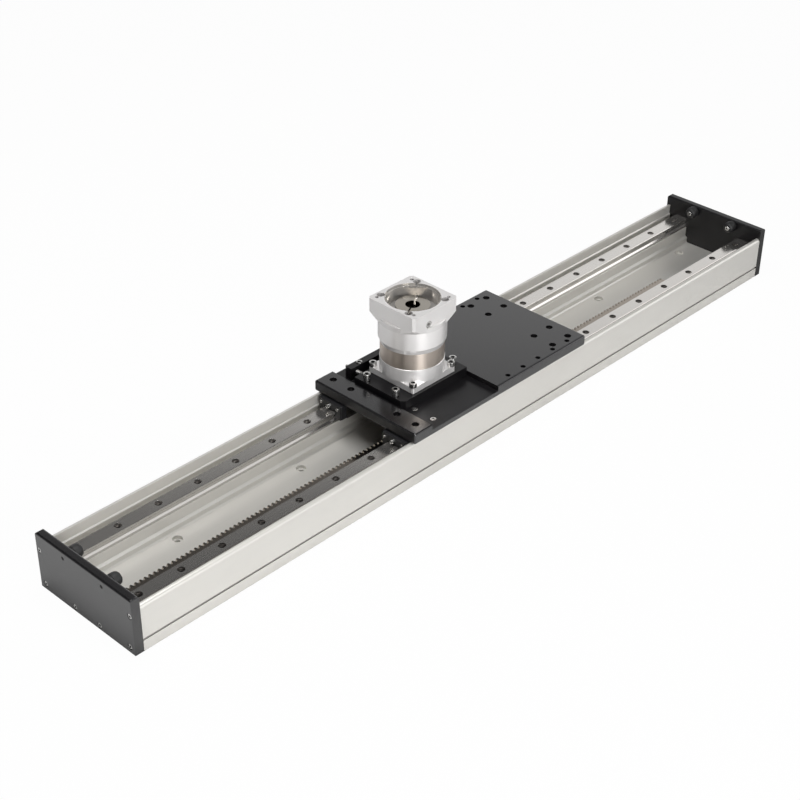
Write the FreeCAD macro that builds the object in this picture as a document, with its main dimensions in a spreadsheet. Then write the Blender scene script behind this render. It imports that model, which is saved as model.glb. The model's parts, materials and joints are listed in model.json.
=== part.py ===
# Linear rail module: an open aluminium extrusion with two profile rails and a helical rack,
# and a carriage on four blocks that carries an upright planetary gearbox with its motor flange open.
# Millimetres. X runs along the module, Y across it, Z up.
# The origin is the middle of the base's underside, with the carriage at mid travel.

import FreeCAD, Part
import Sketcher
import math
import os
import re

doc = FreeCAD.newDocument("linear_rail_module")
V = FreeCAD.Vector

# Driving dimensions
# Each one is written once here, and its name is used everywhere else.

SIZES = {
    # base extrusion
    "base_length": 1180, "base_width": 171, "wall_height": 63, "wall_thickness": 6,
    "floor_thickness": 11.5, "seat_height": 36, "wall_corner_radius": 4.5,
    "wall_ledge_width": 1.5, "wall_ledge_height": 49.5,
    "step_depth": 3.3, "step_height": 22, "step_slope": 2.5, "floor_fillet": 1.8,
    "chamber_roof": 5.5, "chamber_floor": 15, "chamber_wall": 6,
    "side_groove_height": 16, "side_groove_width": 3, "side_groove_depth": 1.6,
    "slot_spacing": 120, "slot_opening": 8.2, "slot_lip": 4.5, "slot_width": 16.5, "slot_depth": 11.5,
    "fixing_setback": 12.7, "fixing_start": 143, "fixing_pitch": 200, "fixing_end_margin": 30,
    "fixing_hole": 7, "fixing_head_hole": 13, "fixing_head_depth": 4.5,
    # profile rails
    "rail_setback": 28.8, "rail_width": 20, "rail_height": 15.5, "rail_waist": 16.4,
    "rail_hole_pitch": 60, "rail_end_margin": 15, "rail_hole": 6, "rail_head_hole": 9.5,
    "rail_head_depth": 8.5, "rail_screw_head": 8.5, "rail_screw_head_height": 5,
    # rack
    "normal_module": 2, "helix_sine": 0.334272, "rack_start_gap": 20, "rack_end_gap": 158,
    "rack_depth": 24, "rack_height": 24, "rack_seat_margin": 0.9, "rack_screw_line": 8,
    "rack_screw_pitch": 125, "rack_hole": 7, "rack_head_hole": 11,
    "rack_head_depth": 7, "rack_screw_head": 10, "rack_screw_head_height": 6,
    # end plates, their screws and the bumpers
    "plate_thickness": 12, "plate_height": 77, "plate_corner_radius": 2.5,
    "plate_hole": 4.2, "plate_head_hole": 7.4, "plate_head_depth": 4.4,
    "plate_screw_head": 6.6, "plate_screw_shank": 4,
    "upper_screw_inset": 4.1, "upper_screw_z": 53.7, "corner_screw_inset": 9, "corner_screw_z": 8,
    "floor_screw_y": 22.4, "floor_screw_z": 5.6,
    "bumper_y": 34.7, "bumper_z": 68, "bumper_diameter": 20, "bumper_length": 15,
    "bumper_core": 8, "stud_diameter": 5, "stud_depth": 10,
    # carriage blocks
    "block_spacing": 264, "block_width": 42, "block_height": 28, "block_underside": 6,
    "block_body_length": 56, "end_cap_length": 9, "seal_thickness": 1.5, "block_bore_height": 17,
    "running_gap": 0.35, "cap_inset": 1,
    # carriage plate
    "carriage_length": 332, "carriage_overhang": 3.5, "carriage_thickness": 15,
    "block_hole_spacing": 32, "block_hole": 5.5, "block_head_hole": 9.5, "block_shoulder": 5.5,
    "block_screw_head": 8.5, "block_screw_head_height": 5, "block_screw_shank": 5,
    "low_head_height": 2.3,
    "recess_depth": 7, "recess_start_x": -135, "recess_end_x": -11.5, "pinion_opening": 78,
    "load_hole": 6.8, "load_hole_pitch": 30, "load_hole_count": 5, "load_hole_start_x": 17.2,
    "load_line_inset": 9,
    # adapter plate and its adjusting bar
    "adapter_centre_x": -71.5, "adapter_width": 119, "adapter_depth": 86, "adapter_thickness": 13,
    "adapter_chamfer": 5, "clamp_centre_x": -72.35, "clamp_spacing_x": 106.3, "clamp_spacing_y": 51, "clamp_offset_y": 1,
    "clamp_hole": 6.6, "clamp_slot": 10, "clamp_head": 10, "clamp_head_height": 6,
    "clamp_collar": 8.5, "clamp_collar_height": 4.2,
    "bar_length": 110, "bar_depth": 10.5, "bar_height": 16.5, "bar_gap": 12,
    "bar_screw_spacing": 71, "bar_screw_head": 8.5, "bar_screw_head_height": 5, "bar_hole": 5.5,
    "bar_head_hole": 9.5, "bar_head_depth": 4,
    "adjuster_spacing": 90, "adjuster_height": 9, "adjuster_diameter": 5, "lock_nut_width": 8,
    "lock_nut_height": 4,
    # gearbox housings
    "gear_x": -70, "pilot_diameter": 70, "pilot_height": 5,
    "flange_width": 85, "flange_corner_radius": 6, "flange_thickness": 9,
    "flange_hole_circle": 100, "flange_hole": 6.6, "flange_screw_head": 10,
    "flange_screw_head_height": 6, "head_pocket": 14, "foot_flare": 7,
    "hub_diameter": 84, "hub_height": 18.5, "ring_diameter": 83, "ring_height": 22.5,
    "band_height": 7, "band_taper": 2, "body_diameter": 88, "body_height": 31,
    "motor_width": 80, "motor_chamfer": 3.2, "motor_flange_height": 22, "motor_cone_height": 10,
    "motor_step_height": 7, "motor_corner_diameter": 108,
    "motor_bore": 71, "motor_pilot": 70, "motor_pilot_depth": 4, "motor_hole_circle": 90,
    "motor_hole": 5, "motor_hole_depth": 14, "access_diameter": 10, "access_offset_x": -13,
    "access_height": 177, "plug_length": 5,
    "retaining_circle": 81, "retaining_angle": 36.3, "retaining_head_hole": 10.2,
    "retaining_depth": 14, "retaining_hole": 5.5, "retaining_head": 8.5, "retaining_head_height": 5,
    # planetary stage
    "gear_module": 1.5, "sun_teeth": 12, "planet_teeth": 18, "ring_teeth": 48,
    "planet_count": 3, "addendum": 0.9, "dedendum": 1.15, "backlash": 0.12,
    "gear_width": 18, "gear_side_gap": 1.0, "planet_bore_gap": 0.05, "planet_pin": 8,
    "carrier_diameter": 66, "carrier_thickness": 5, "cavity_gap": 1,
    # shafts, bearings, seal
    "shaft_diameter": 22, "journal_diameter": 30, "bearing_outer": 55, "bearing_width": 8,
    "seal_outer": 40, "seal_width": 6, "running_fit": 0.05, "shaft_length": 62,
    "input_journal": 20, "input_bearing_outer": 42, "input_bearing_width": 10,
    "clamp_hub_diameter": 44.6, "clamp_hub_drop": 10.5, "clamp_hub_length": 30.5,
    "motor_shaft_bore": 19, "motor_shaft_depth": 28, "clamp_slit": 2,
    "slit_angle": 207, "hub_screw": 5, "hub_screw_head": 8.5, "hub_screw_offset": 13.2,
    "hub_screw_drop": 8, "hub_screw_seat": 10,
    # pinion and its fastening
    "pinion_tip_clearance": 0.3, "pinion_width": 24, "pinion_floor_gap": 1.8, "pinion_hub": 40,
    "pinion_hub_height": 22, "rack_backlash": 0.2, "key_width": 6, "key_height": 6,
    "key_length": 28, "retainer_diameter": 32, "retainer_thickness": 4, "retainer_recess": 10,
    "retainer_screw_head": 10, "retainer_screw_head_height": 5, "retainer_screw_hole": 6,
}

sheet = doc.addObject("Spreadsheet::Sheet", "sizes")
for row, (word, number) in enumerate(SIZES.items(), start=1):
    sheet.set("A%d" % row, word)
    sheet.set("B%d" % row, str(number))
    sheet.setAlias("B%d" % row, word)
doc.recompute()

# Places that follow from the driving dimensions

PLACES = {
    "base_end": "base_length / 2",
    "half_base": "base_width / 2",
    "wall_inner": "base_width / 2 - wall_thickness",
    "rail_y": "half_base - rail_setback",
    "rail_half": "rail_width / 2",
    "pedestal_inner": "rail_y - rail_width / 2 - rack_seat_margin",
    "step_inner": "pedestal_inner - step_depth",
    "fixing_line_y": "step_inner - fixing_setback",
    "fixing_first_x": "fixing_start - base_end",
    "fixing_count": "floor((base_length - fixing_start - fixing_end_margin) / fixing_pitch) + 1",
    "rail_top": "seat_height + rail_height",
    "rail_hole_count": "floor((base_length - 2 * rail_end_margin) / rail_hole_pitch) + 1",
    "rail_first_x": "-rail_hole_pitch * (rail_hole_count - 1) / 2",
    "helix_cosine": "sqrt(1 - helix_sine ^ 2)",
    "rack_module": "normal_module / helix_cosine",
    "tooth_pitch": "3.14159265358979 * rack_module",
    "rack_start_x": "rack_start_gap - base_end",
    "rack_teeth": "floor((base_length - rack_start_gap - rack_end_gap) / tooth_pitch)",
    "rack_length": "rack_teeth * tooth_pitch",
    "rack_top": "floor_thickness + rack_height",
    "rack_pitch_y": "rack_depth - normal_module - pedestal_inner",
    "pinion_reach": "step_inner - rack_pitch_y - normal_module - pinion_tip_clearance",
    "pinion_teeth": "floor(pinion_reach / rack_module)",
    "pitch_radius": "pinion_teeth * rack_module / 2",
    "gear_y": "rack_pitch_y + pitch_radius",
    "rack_screw_y": "rack_screw_line - pedestal_inner",
    "rack_screw_count": "floor((rack_length + 1) / rack_screw_pitch)",
    "rack_screw_x": "rack_start_x + rack_length / 2 - rack_screw_pitch * (rack_screw_count - 1) / 2",
    "upper_screw_y": "half_base - upper_screw_inset",
    "corner_screw_y": "half_base - corner_screw_inset",
    "block_top": "seat_height + block_height",
    "block_x": "block_spacing / 2",
    "carriage_end": "carriage_length / 2",
    "carriage_width": "base_width + 2 * carriage_overhang",
    "load_line_spacing": "carriage_width - 2 * load_line_inset",
    "carriage_top": "block_top + carriage_thickness",
    "recess_floor": "carriage_top - recess_depth",
    "adapter_top": "recess_floor + adapter_thickness",
    "bar_near_y": "gear_y + adapter_depth / 2 + bar_gap",
    "bar_y": "bar_near_y + bar_depth / 2",
    "clamp_y": "gear_y + clamp_offset_y",
    "flange_top": "adapter_top + flange_thickness",
    "hub_top": "flange_top + hub_height",
    "ring_top": "hub_top + ring_height",
    "band_top": "ring_top + band_height",
    "motor_base": "band_top + body_height - motor_step_height",
    "motor_top": "motor_base + motor_flange_height + motor_step_height",
    "retaining_x": "retaining_circle / 2 * cos(retaining_angle * 1deg)",
    "retaining_y": "retaining_circle / 2 * sin(retaining_angle * 1deg)",
    "planet_orbit": "gear_module * (sun_teeth + planet_teeth) / 2",
    "gear_base": "hub_top + gear_side_gap",
    "gear_top": "gear_base + gear_width",
    "carrier_top": "gear_top + gear_side_gap + carrier_thickness",
    "carrier_base": "gear_base - gear_side_gap - carrier_thickness",
    "pinion_base": "floor_thickness + pinion_floor_gap",
    "pinion_top": "pinion_base + pinion_width",
    "shaft_end": "pinion_base + retainer_recess",
}


def spelled(text):
    """An expression with each size and place named through its own object."""
    def full(match):
        word = match.group(0)
        if word in SIZES:
            return "sizes." + word
        if word in PLACES:
            return "places." + word
        return word
    return re.sub(r"[a-z_]+", full, str(text))


places = doc.addObject("App::VarSet", "places")
for word, formula in PLACES.items():
    places.addProperty("App::PropertyFloat", word)
    places.setExpression(word, spelled(formula))
doc.recompute()


def size(word):
    """The number that a driving dimension or a place has now."""
    if word in SIZES:
        return float(sheet.get(word))
    return getattr(places, word)


# Sketches and features

def new_body(name, x="0", y="0", z="0"):
    body = doc.addObject("PartDesign::Body", name)
    body.Label = name
    for axis, formula in (("x", x), ("y", y), ("z", z)):
        body.setExpression("Placement.Base." + axis, spelled(formula))
    return body


def new_sketch(body, plane, level="0"):
    """A sketch on one of the body's own planes, moved out to a level along the plane's normal."""
    origin_plane = [f for f in body.Origin.OriginFeatures if f.Role == plane + "_Plane"][0]
    sketch = body.newObject("Sketcher::SketchObject", body.Name + "_sketch")
    sketch.AttachmentSupport = [(origin_plane, "")]
    sketch.MapMode = "FlatFace"
    sign = "-1" if plane == "XZ" else "1"
    sketch.setExpression("AttachmentOffset.Base.z", spelled("%s * (%s)" % (sign, level)))
    return sketch


def number(text):
    """The value of a sketch formula, used only to draw the sketch before its constraints hold it."""
    scratch.setExpression("value", spelled(text))
    scratch.recompute()
    return scratch.value


scratch = doc.addObject("App::VarSet", "scratch")
scratch.addProperty("App::PropertyFloat", "value")


def hold(sketch, kind, geometry, point, formula):
    """Hold one coordinate of a point, measured from the sketch's origin."""
    index = sketch.addConstraint(Sketcher.Constraint(kind, -1, 1, geometry, point, number(formula)))
    sketch.setExpression("Constraints[%d]" % index, spelled(formula))


def outline(sketch, corners):
    """A closed outline of straight lines through the corners, each held by two formulas."""
    points = [V(number(u), number(v), 0) for u, v in corners]
    first = sketch.GeometryCount
    for i, start in enumerate(points):
        sketch.addGeometry(Part.LineSegment(start, points[(i + 1) % len(points)]))
    for i in range(len(points)):
        following = first + (i + 1) % len(points)
        sketch.addConstraint(Sketcher.Constraint("Coincident", first + i, 2, following, 1))
    for i, (u, v) in enumerate(corners):
        hold(sketch, "DistanceX", first + i, 1, u)
        hold(sketch, "DistanceY", first + i, 1, v)


def rectangle(sketch, u0, u1, v0, v1):
    outline(sketch, [(u0, v0), (u1, v0), (u1, v1), (u0, v1)])


def circle(sketch, u, v, diameter):
    centre = V(number(u), number(v), 0)
    index = sketch.addGeometry(Part.Circle(centre, V(0, 0, 1), number(diameter) / 2))
    hold(sketch, "DistanceX", index, 3, u)
    hold(sketch, "DistanceY", index, 3, v)
    across = sketch.addConstraint(Sketcher.Constraint("Diameter", index, number(diameter)))
    sketch.setExpression("Constraints[%d]" % across, spelled(diameter))


def slot(sketch, u, v, width, length):
    """A slot with round ends that runs along the sketch's second axis."""
    reach = "((%s) - (%s)) / 2" % (length, width)
    half = number(width) / 2
    x, y, r = number(u), number(v), number(reach)
    top = sketch.addGeometry(Part.ArcOfCircle(Part.Circle(V(x, y + r, 0), V(0, 0, 1), half), 0, math.pi))
    low = sketch.addGeometry(Part.ArcOfCircle(Part.Circle(V(x, y - r, 0), V(0, 0, 1), half),
                                              math.pi, 2 * math.pi))
    left = sketch.addGeometry(Part.LineSegment(V(x - half, y + r, 0), V(x - half, y - r, 0)))
    right = sketch.addGeometry(Part.LineSegment(V(x + half, y - r, 0), V(x + half, y + r, 0)))
    for a, a_end, b, b_end in ((top, 2, left, 1), (left, 2, low, 1), (low, 2, right, 1), (right, 2, top, 1)):
        sketch.addConstraint(Sketcher.Constraint("Tangent", a, a_end, b, b_end))
    hold(sketch, "DistanceX", top, 3, u)
    hold(sketch, "DistanceY", top, 3, "%s + %s" % (v, reach))
    hold(sketch, "DistanceX", low, 3, u)
    hold(sketch, "DistanceY", low, 3, "%s - %s" % (v, reach))
    across = sketch.addConstraint(Sketcher.Constraint("Radius", top, half))
    sketch.setExpression("Constraints[%d]" % across, spelled("(%s) / 2" % width))


def pad(body, sketch, length):
    feature = body.newObject("PartDesign::Pad", body.Name + "_pad")
    feature.Profile = sketch
    feature.setExpression("Length", spelled(length))
    sketch.Visibility = False
    doc.recompute()
    return feature


def pocket(body, sketch, depth, along_normal=False):
    """Cut against the sketch's normal, or along it, and check that something was cut."""
    before = body.Shape.Volume
    feature = body.newObject("PartDesign::Pocket", body.Name + "_pocket")
    feature.Profile = sketch
    feature.setExpression("Length", spelled(depth))
    feature.Reversed = along_normal
    sketch.Visibility = False
    doc.recompute()
    if not body.Shape.Volume < before:
        raise RuntimeError(body.Name + ": a pocket cut nothing")
    return feature


def revolved(body, kind, points):
    """Turn a profile of (radius, height) corners about the body's Z axis, to add or to cut."""
    sketch = new_sketch(body, "XZ")
    outline(sketch, points)
    feature = body.newObject("PartDesign::" + kind, body.Name + "_" + kind.lower())
    feature.Profile = sketch
    feature.ReferenceAxis = (sketch, ["V_Axis"])
    feature.Angle = 360
    sketch.Visibility = False
    doc.recompute()
    return feature


def pattern_x(body, features, spacing, count):
    """Repeat features along X at a spacing, so that the row has count places in all."""
    feature = body.newObject("PartDesign::LinearPattern", body.Name + "_row")
    feature.Originals = features
    feature.Direction = ([f for f in body.Origin.OriginFeatures if f.Role == "X_Axis"][0], [""])
    feature.setExpression("Length", spelled("(%s) * ((%s) - 1)" % (spacing, count)))
    feature.setExpression("Occurrences", spelled(count))
    body.Tip = feature
    doc.recompute()
    return feature


def pattern_polar(body, features, count):
    feature = body.newObject("PartDesign::PolarPattern", body.Name + "_ring")
    feature.Originals = features
    feature.Axis = ([f for f in body.Origin.OriginFeatures if f.Role == "Z_Axis"][0], [""])
    feature.Angle = 360
    feature.setExpression("Occurrences", spelled(count))
    body.Tip = feature
    doc.recompute()
    return feature


def round_edges(body, feature, radius, wanted, kind="Fillet"):
    """Round or chamfer the straight edges whose two ends both pass a test."""
    names = []
    for i, edge in enumerate(feature.Shape.Edges, start=1):
        ends = [vertex.Point for vertex in edge.Vertexes]
        if len(ends) == 2 and all(wanted(p) for p in ends):
            names.append("Edge%d" % i)
    rounding = body.newObject("PartDesign::" + kind, body.Name + "_" + kind.lower())
    rounding.Base = (feature, names)
    rounding.setExpression("Radius" if kind == "Fillet" else "Size", spelled(radius))
    doc.recompute()
    return rounding


def near(a, b):
    return abs(a - b) < 0.01


def stepped_hole(body, sketch_of, level, head_depth, through, along_normal=False):
    """A counterbored hole: the head's seat first, then the clearance hole below it."""
    seat = new_sketch(body, "XY", level)
    sketch_of(seat, "head")
    first = pocket(body, seat, head_depth, along_normal)
    clear = new_sketch(body, "XY", level)
    sketch_of(clear, "shank")
    second = pocket(body, clear, through, along_normal)
    return [first, second]


def headed_screw(body, head, head_height, shank, shank_length):
    """A screw that stands on its seat at height 0: head above, shank below."""
    return revolved(body, "Revolution", [
        ("0", "-(%s)" % shank_length), ("(%s) / 2" % shank, "-(%s)" % shank_length),
        ("(%s) / 2" % shank, "0"), ("(%s) / 2" % head, "0"),
        ("(%s) / 2" % head, head_height), ("0", head_height)])


# Base extrusion
# A wide U section with two pedestals for the rails, hollow beneath them, drawn across Y and Z.
# The far pedestal has a step at its foot, and the near one is plain, because the rack seats on it.

def base_section(side):
    """The corners of one half, from the middle of the underside round to the middle of the floor."""
    y = lambda text: "%s * (%s)" % (side, text)
    corners = [
        (y("slot_spacing / 2 - slot_opening / 2"), "0"),
        (y("slot_spacing / 2 - slot_opening / 2"), "slot_lip"),
        (y("slot_spacing / 2 - slot_width / 2"), "slot_lip"),
        (y("slot_spacing / 2 - slot_width / 2"), "slot_depth"),
        (y("slot_spacing / 2 + slot_width / 2"), "slot_depth"),
        (y("slot_spacing / 2 + slot_width / 2"), "slot_lip"),
        (y("slot_spacing / 2 + slot_opening / 2"), "slot_lip"),
        (y("slot_spacing / 2 + slot_opening / 2"), "0"),
        (y("half_base"), "0"),
        (y("half_base"), "side_groove_height - side_groove_width / 2"),
        (y("half_base - side_groove_depth"), "side_groove_height - side_groove_width / 2"),
        (y("half_base - side_groove_depth"), "side_groove_height + side_groove_width / 2"),
        (y("half_base"), "side_groove_height + side_groove_width / 2"),
        (y("half_base"), "wall_height"),
        (y("wall_inner"), "wall_height"),
        (y("wall_inner"), "wall_ledge_height"),
        (y("wall_inner - wall_ledge_width"), "wall_ledge_height - wall_ledge_width"),
        (y("wall_inner - wall_ledge_width"), "seat_height"),
        (y("pedestal_inner"), "seat_height"),
    ]
    if side > 0:
        corners += [
            (y("pedestal_inner"), "step_height"),
            (y("step_inner"), "step_height - step_slope"),
            (y("step_inner"), "floor_thickness + floor_fillet"),
            (y("step_inner - floor_fillet"), "floor_thickness"),
        ]
    else:
        corners.append((y("pedestal_inner"), "floor_thickness"))
    return corners


base = new_body("base_profile", "-base_end")
section = new_sketch(base, "YZ")
outline(section, base_section(1) + list(reversed(base_section(-1))))
for side in (1, -1):
    rectangle(section, "%d * (pedestal_inner + chamber_wall)" % side,
              "%d * (half_base - side_groove_depth - chamber_wall / 2)" % side,
              "chamber_floor", "seat_height - chamber_roof")
extrusion = pad(base, section, "base_length")
extrusion = round_edges(base, extrusion, "wall_corner_radius",
                        lambda p: near(abs(p.y), size("half_base")) and near(p.z, size("wall_height")))
fixing = stepped_hole(
    base,
    lambda sketch, part: circle(sketch, "base_end + fixing_first_x", "fixing_line_y",
                                "fixing_head_hole" if part == "head" else "fixing_hole"),
    "floor_thickness", "fixing_head_depth", "floor_thickness")
pattern_x(base, fixing, "fixing_pitch", "fixing_count")


# Profile rails and their screws
# Ground steel with a narrow waist for the balls, and a row of counterbored holes.

def rail(name, y):
    body = new_body(name, "-base_end", y, "seat_height")
    profile = new_sketch(body, "YZ")
    half = [("rail_half", "0"), ("rail_half", "0.22 * rail_height"),
            ("rail_waist / 2", "0.38 * rail_height"), ("rail_waist / 2", "0.62 * rail_height"),
            ("rail_half", "0.78 * rail_height"), ("rail_half", "0.96 * rail_height"),
            ("rail_half - 0.04 * rail_height", "rail_height")]
    outline(profile, half + [("-(%s)" % u, v) for u, v in reversed(half)])
    pad(body, profile, "base_length")
    holes = stepped_hole(
        body,
        lambda sketch, part: circle(sketch, "base_end + rail_first_x", "0",
                                    "rail_head_hole" if part == "head" else "rail_hole"),
        "rail_height", "rail_head_depth", "rail_height")
    pattern_x(body, holes, "rail_hole_pitch", "rail_hole_count")


def rail_screws(name, y):
    body = new_body(name, "rail_first_x", y, "rail_top - rail_head_depth")
    screw = headed_screw(body, "rail_screw_head", "rail_screw_head_height",
                         "rail_hole - 1", "rail_height - rail_head_depth")
    pattern_x(body, [screw], "rail_hole_pitch", "rail_hole_count")


for end, y in (("near", "-rail_y"), ("far", "rail_y")):
    rail(end + "_rail", y)
    rail_screws(end + "_rail_screws", y)


# Gear teeth
# Involute flanks in the plane of rotation, drawn with three points a side.

def involute_outline(teeth, module, pressure_angle, tip, root, thinning, phase, points=3):
    """Corners of a gear: tooth centres at phase + k pitches, thinned by an arc at the pitch circle."""
    pitch_radius = teeth * module / 2
    base_radius = pitch_radius * math.cos(pressure_angle)
    half_tooth = math.pi / (2 * teeth) - thinning / (2 * pitch_radius)
    at_pitch = math.tan(pressure_angle) - pressure_angle

    def half_angle(radius):
        angle = math.acos(min(1.0, base_radius / radius))
        return half_tooth + at_pitch - (math.tan(angle) - angle)

    radii = [root + (tip - root) * i / (points - 1) for i in range(points)]
    flank = [(radius, half_angle(radius)) for radius in radii]
    corners = []
    for k in range(teeth):
        centre = phase + 2 * math.pi * k / teeth
        for radius, angle in flank:
            corners.append((radius, centre - angle))
        for radius, angle in reversed(flank):
            corners.append((radius, centre + angle))
    return [V(r * math.cos(a), r * math.sin(a), 0) for r, a in corners]


def closed_wire(points, z=0.0, turn=0.0):
    """A closed wire through the points, lifted and turned about Z."""
    c, s = math.cos(turn), math.sin(turn)
    moved = [V(p.x * c - p.y * s, p.x * s + p.y * c, z) for p in points]
    return Part.makePolygon(moved + [moved[0]])


def cylinder(diameter, z0, z1, x=0.0, y=0.0):
    return Part.makeCylinder(diameter / 2, z1 - z0, V(x, y, z0))


def add_shape(name, shape, x=0.0, y=0.0, z=0.0, turn=0.0):
    feature = doc.addObject("Part::Feature", name)
    feature.Label = name
    feature.Shape = shape
    feature.Placement = FreeCAD.Placement(V(x, y, z), FreeCAD.Rotation(V(0, 0, 1), turn))
    return feature


normal_angle = math.radians(20)
helix_angle = math.asin(size("helix_sine"))
transverse_angle = math.atan(math.tan(normal_angle) / math.cos(helix_angle))
rack_middle_z = size("floor_thickness") + size("rack_height") / 2


# Rack
# A square steel bar on the floor against the near pedestal, teeth towards the middle of the module.
# Its teeth lean along X as they rise, so the bar is its tooth outline pushed up along that slant.

def rack_bar():
    pitch = size("tooth_pitch")
    start = size("rack_start_x")
    length = size("rack_length")
    lean = math.tan(helix_angle)
    height = size("rack_height")
    back = -size("pedestal_inner")
    pitch_y = size("rack_pitch_y")
    tip = pitch_y + size("normal_module")
    root = pitch_y - 1.25 * size("normal_module")
    slope = math.tan(transverse_angle)
    half_at_pitch = pitch / 4 - size("rack_backlash") / 4
    half_at_tip = half_at_pitch - (tip - pitch_y) * slope
    half_at_root = half_at_pitch + (pitch_y - root) * slope
    spare_teeth = 2
    points = [V(start - spare_teeth * pitch, back, 0), V(start - spare_teeth * pitch, root, 0)]
    for k in range(-spare_teeth, int(size("rack_teeth")) + spare_teeth):
        centre = start + (k + 0.5) * pitch
        points += [V(centre - half_at_root, root, 0), V(centre - half_at_tip, tip, 0),
                   V(centre + half_at_tip, tip, 0), V(centre + half_at_root, root, 0)]
    points += [V(start + length + spare_teeth * pitch, root, 0), V(start + length + spare_teeth * pitch, back, 0)]
    base_z = size("floor_thickness")
    shift = -lean * height / 2
    foot = Part.Face(closed_wire([p + V(shift, 0, 0) for p in points], base_z))
    bar = foot.extrude(V(lean * height, 0, height))
    trim = Part.makeBox(length, tip - back, height, V(start, back, base_z))
    bar = bar.common(trim)
    top = size("rack_top")
    for k in range(int(size("rack_screw_count"))):
        x = size("rack_screw_x") + k * size("rack_screw_pitch")
        y = size("rack_screw_y")
        bar = bar.cut(cylinder(size("rack_head_hole"), top - size("rack_head_depth"), top, x, y))
        bar = bar.cut(cylinder(size("rack_hole"), base_z, top, x, y))
    return bar


add_shape("gear_rack", rack_bar())

rack_screw_group = new_body("rack_screws", "rack_screw_x", "rack_screw_y", "rack_top - rack_head_depth")
rack_screw = headed_screw(rack_screw_group, "rack_screw_head", "rack_screw_head_height",
                          "rack_hole - 1", "rack_height - rack_head_depth")
pattern_x(rack_screw_group, [rack_screw], "rack_screw_pitch", "rack_screw_count")


# End plates, screws and bumpers
# Black anodised plates screwed to the ends of the extrusion, with a pair of rubber bumpers inside.

PLATE_SCREWS = [("%d * upper_screw_y" % s, "upper_screw_z") for s in (1, -1)]
PLATE_SCREWS += [("%d * corner_screw_y" % s, "corner_screw_z") for s in (1, -1)]
PLATE_SCREWS += [("%d * floor_screw_y" % s, "floor_screw_z") for s in (1, -1)]


def end_plate(name, side):
    """A plate whose inner face lies on the end of the extrusion, at side -1 or 1."""
    body = new_body(name)
    outer = "%d * (base_end + plate_thickness)" % side
    inner = "%d * base_end" % side
    low = inner if side > 0 else outer
    face = new_sketch(body, "YZ", low)
    rectangle(face, "-half_base", "half_base", "0", "plate_height")
    plate = pad(body, face, "plate_thickness")
    round_edges(body, plate, "plate_corner_radius", lambda p: near(abs(p.y), size("half_base"))
                and near(p.z, size("plate_height")))
    for width, depth in (("plate_head_hole", "plate_head_depth"), ("plate_hole", "plate_thickness")):
        holes = new_sketch(body, "YZ", outer)
        for y, z in PLATE_SCREWS:
            circle(holes, y, z, width)
        pocket(body, holes, depth, along_normal=side < 0)
    studs = new_sketch(body, "YZ", outer)
    for turn in (1, -1):
        circle(studs, "%d * bumper_y" % turn, "bumper_z", "stud_diameter")
    pocket(body, studs, "plate_thickness", along_normal=side < 0)


def across_group(name, start, steps, places_yz):
    """Round pieces that lie along X at each of some places: steps are (diameter, from, to)."""
    body = new_body(name, start)
    for diameter, low, length in steps:
        face = new_sketch(body, "YZ", low)
        for y, z in places_yz:
            circle(face, y, z, diameter)
        pad(body, face, length)


BUMPERS = [("%d * bumper_y" % s, "bumper_z") for s in (1, -1)]

end_plate("left_end_plate", -1)
end_plate("right_end_plate", 1)
across_group("left_end_screws", "-(base_end + plate_thickness)",
             [("plate_screw_shank", "plate_head_depth - 0.2", "plate_thickness - plate_head_depth + 0.2"),
              ("plate_screw_head", "0.4", "plate_head_depth - 0.4")], PLATE_SCREWS)
across_group("right_end_screws", "base_end",
             [("plate_screw_shank", "0", "plate_thickness - plate_head_depth + 0.2"),
              ("plate_screw_head", "plate_thickness - plate_head_depth", "plate_head_depth - 0.4")],
             PLATE_SCREWS)
across_group("left_bumper_studs", "-(base_end + plate_thickness)",
             [("stud_diameter", "0", "plate_thickness + stud_depth")], BUMPERS)
across_group("right_bumper_studs", "base_end - stud_depth",
             [("stud_diameter", "0", "plate_thickness + stud_depth")], BUMPERS)


def bumpers(name, side):
    """Two rubber buffers, each moulded on its stud, with a bevelled free end."""
    body = new_body(name, "%d * base_end" % side, "0", "bumper_z")
    low = "0" if side > 0 else "-bumper_length"
    face = new_sketch(body, "YZ", "-bumper_length" if side > 0 else "0")
    for turn in (1, -1):
        circle(face, "%d * bumper_y" % turn, "0", "bumper_diameter")
    solid = pad(body, face, "bumper_length")
    free_end = -side * size("bumper_length")
    names = []
    for i, edge in enumerate(solid.Shape.Edges, start=1):
        box = edge.BoundBox
        if near(box.XMin, free_end) and near(box.XMax, free_end):
            names.append("Edge%d" % i)
    bevel = body.newObject("PartDesign::Chamfer", name + "_bevel")
    bevel.Base = (solid, names)
    bevel.setExpression("Size", spelled("bumper_diameter / 8"))
    doc.recompute()
    socket = new_sketch(body, "YZ", "0")
    for turn in (1, -1):
        circle(socket, "%d * bumper_y" % turn, "0", "stud_diameter")
    pocket(body, socket, "stud_depth", along_normal=side < 0)


bumpers("left_bumpers", -1)
bumpers("right_bumpers", 1)


# Carriage blocks
# Each block is a steel saddle on its rail, with a plastic cap and a seal at both ends.

def saddle_outline(half_width, underside, top):
    """A saddle across Y and Z, measured from the rail's foot, open below round the rail."""
    half = [("rail_half + running_gap", underside),
            ("rail_waist / 2 + running_gap", "0.40 * rail_height + running_gap"),
            ("rail_waist / 2 + running_gap", "0.60 * rail_height - running_gap"),
            ("rail_half + running_gap", "0.78 * rail_height"),
            ("rail_half + running_gap", "block_bore_height")]
    right = [(half_width, top), (half_width, underside)] + half
    left = [("-(%s)" % u, v) for u, v in reversed(half)] + [
        ("-(%s)" % half_width, underside), ("-(%s)" % half_width, top)]
    return right + left


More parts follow.
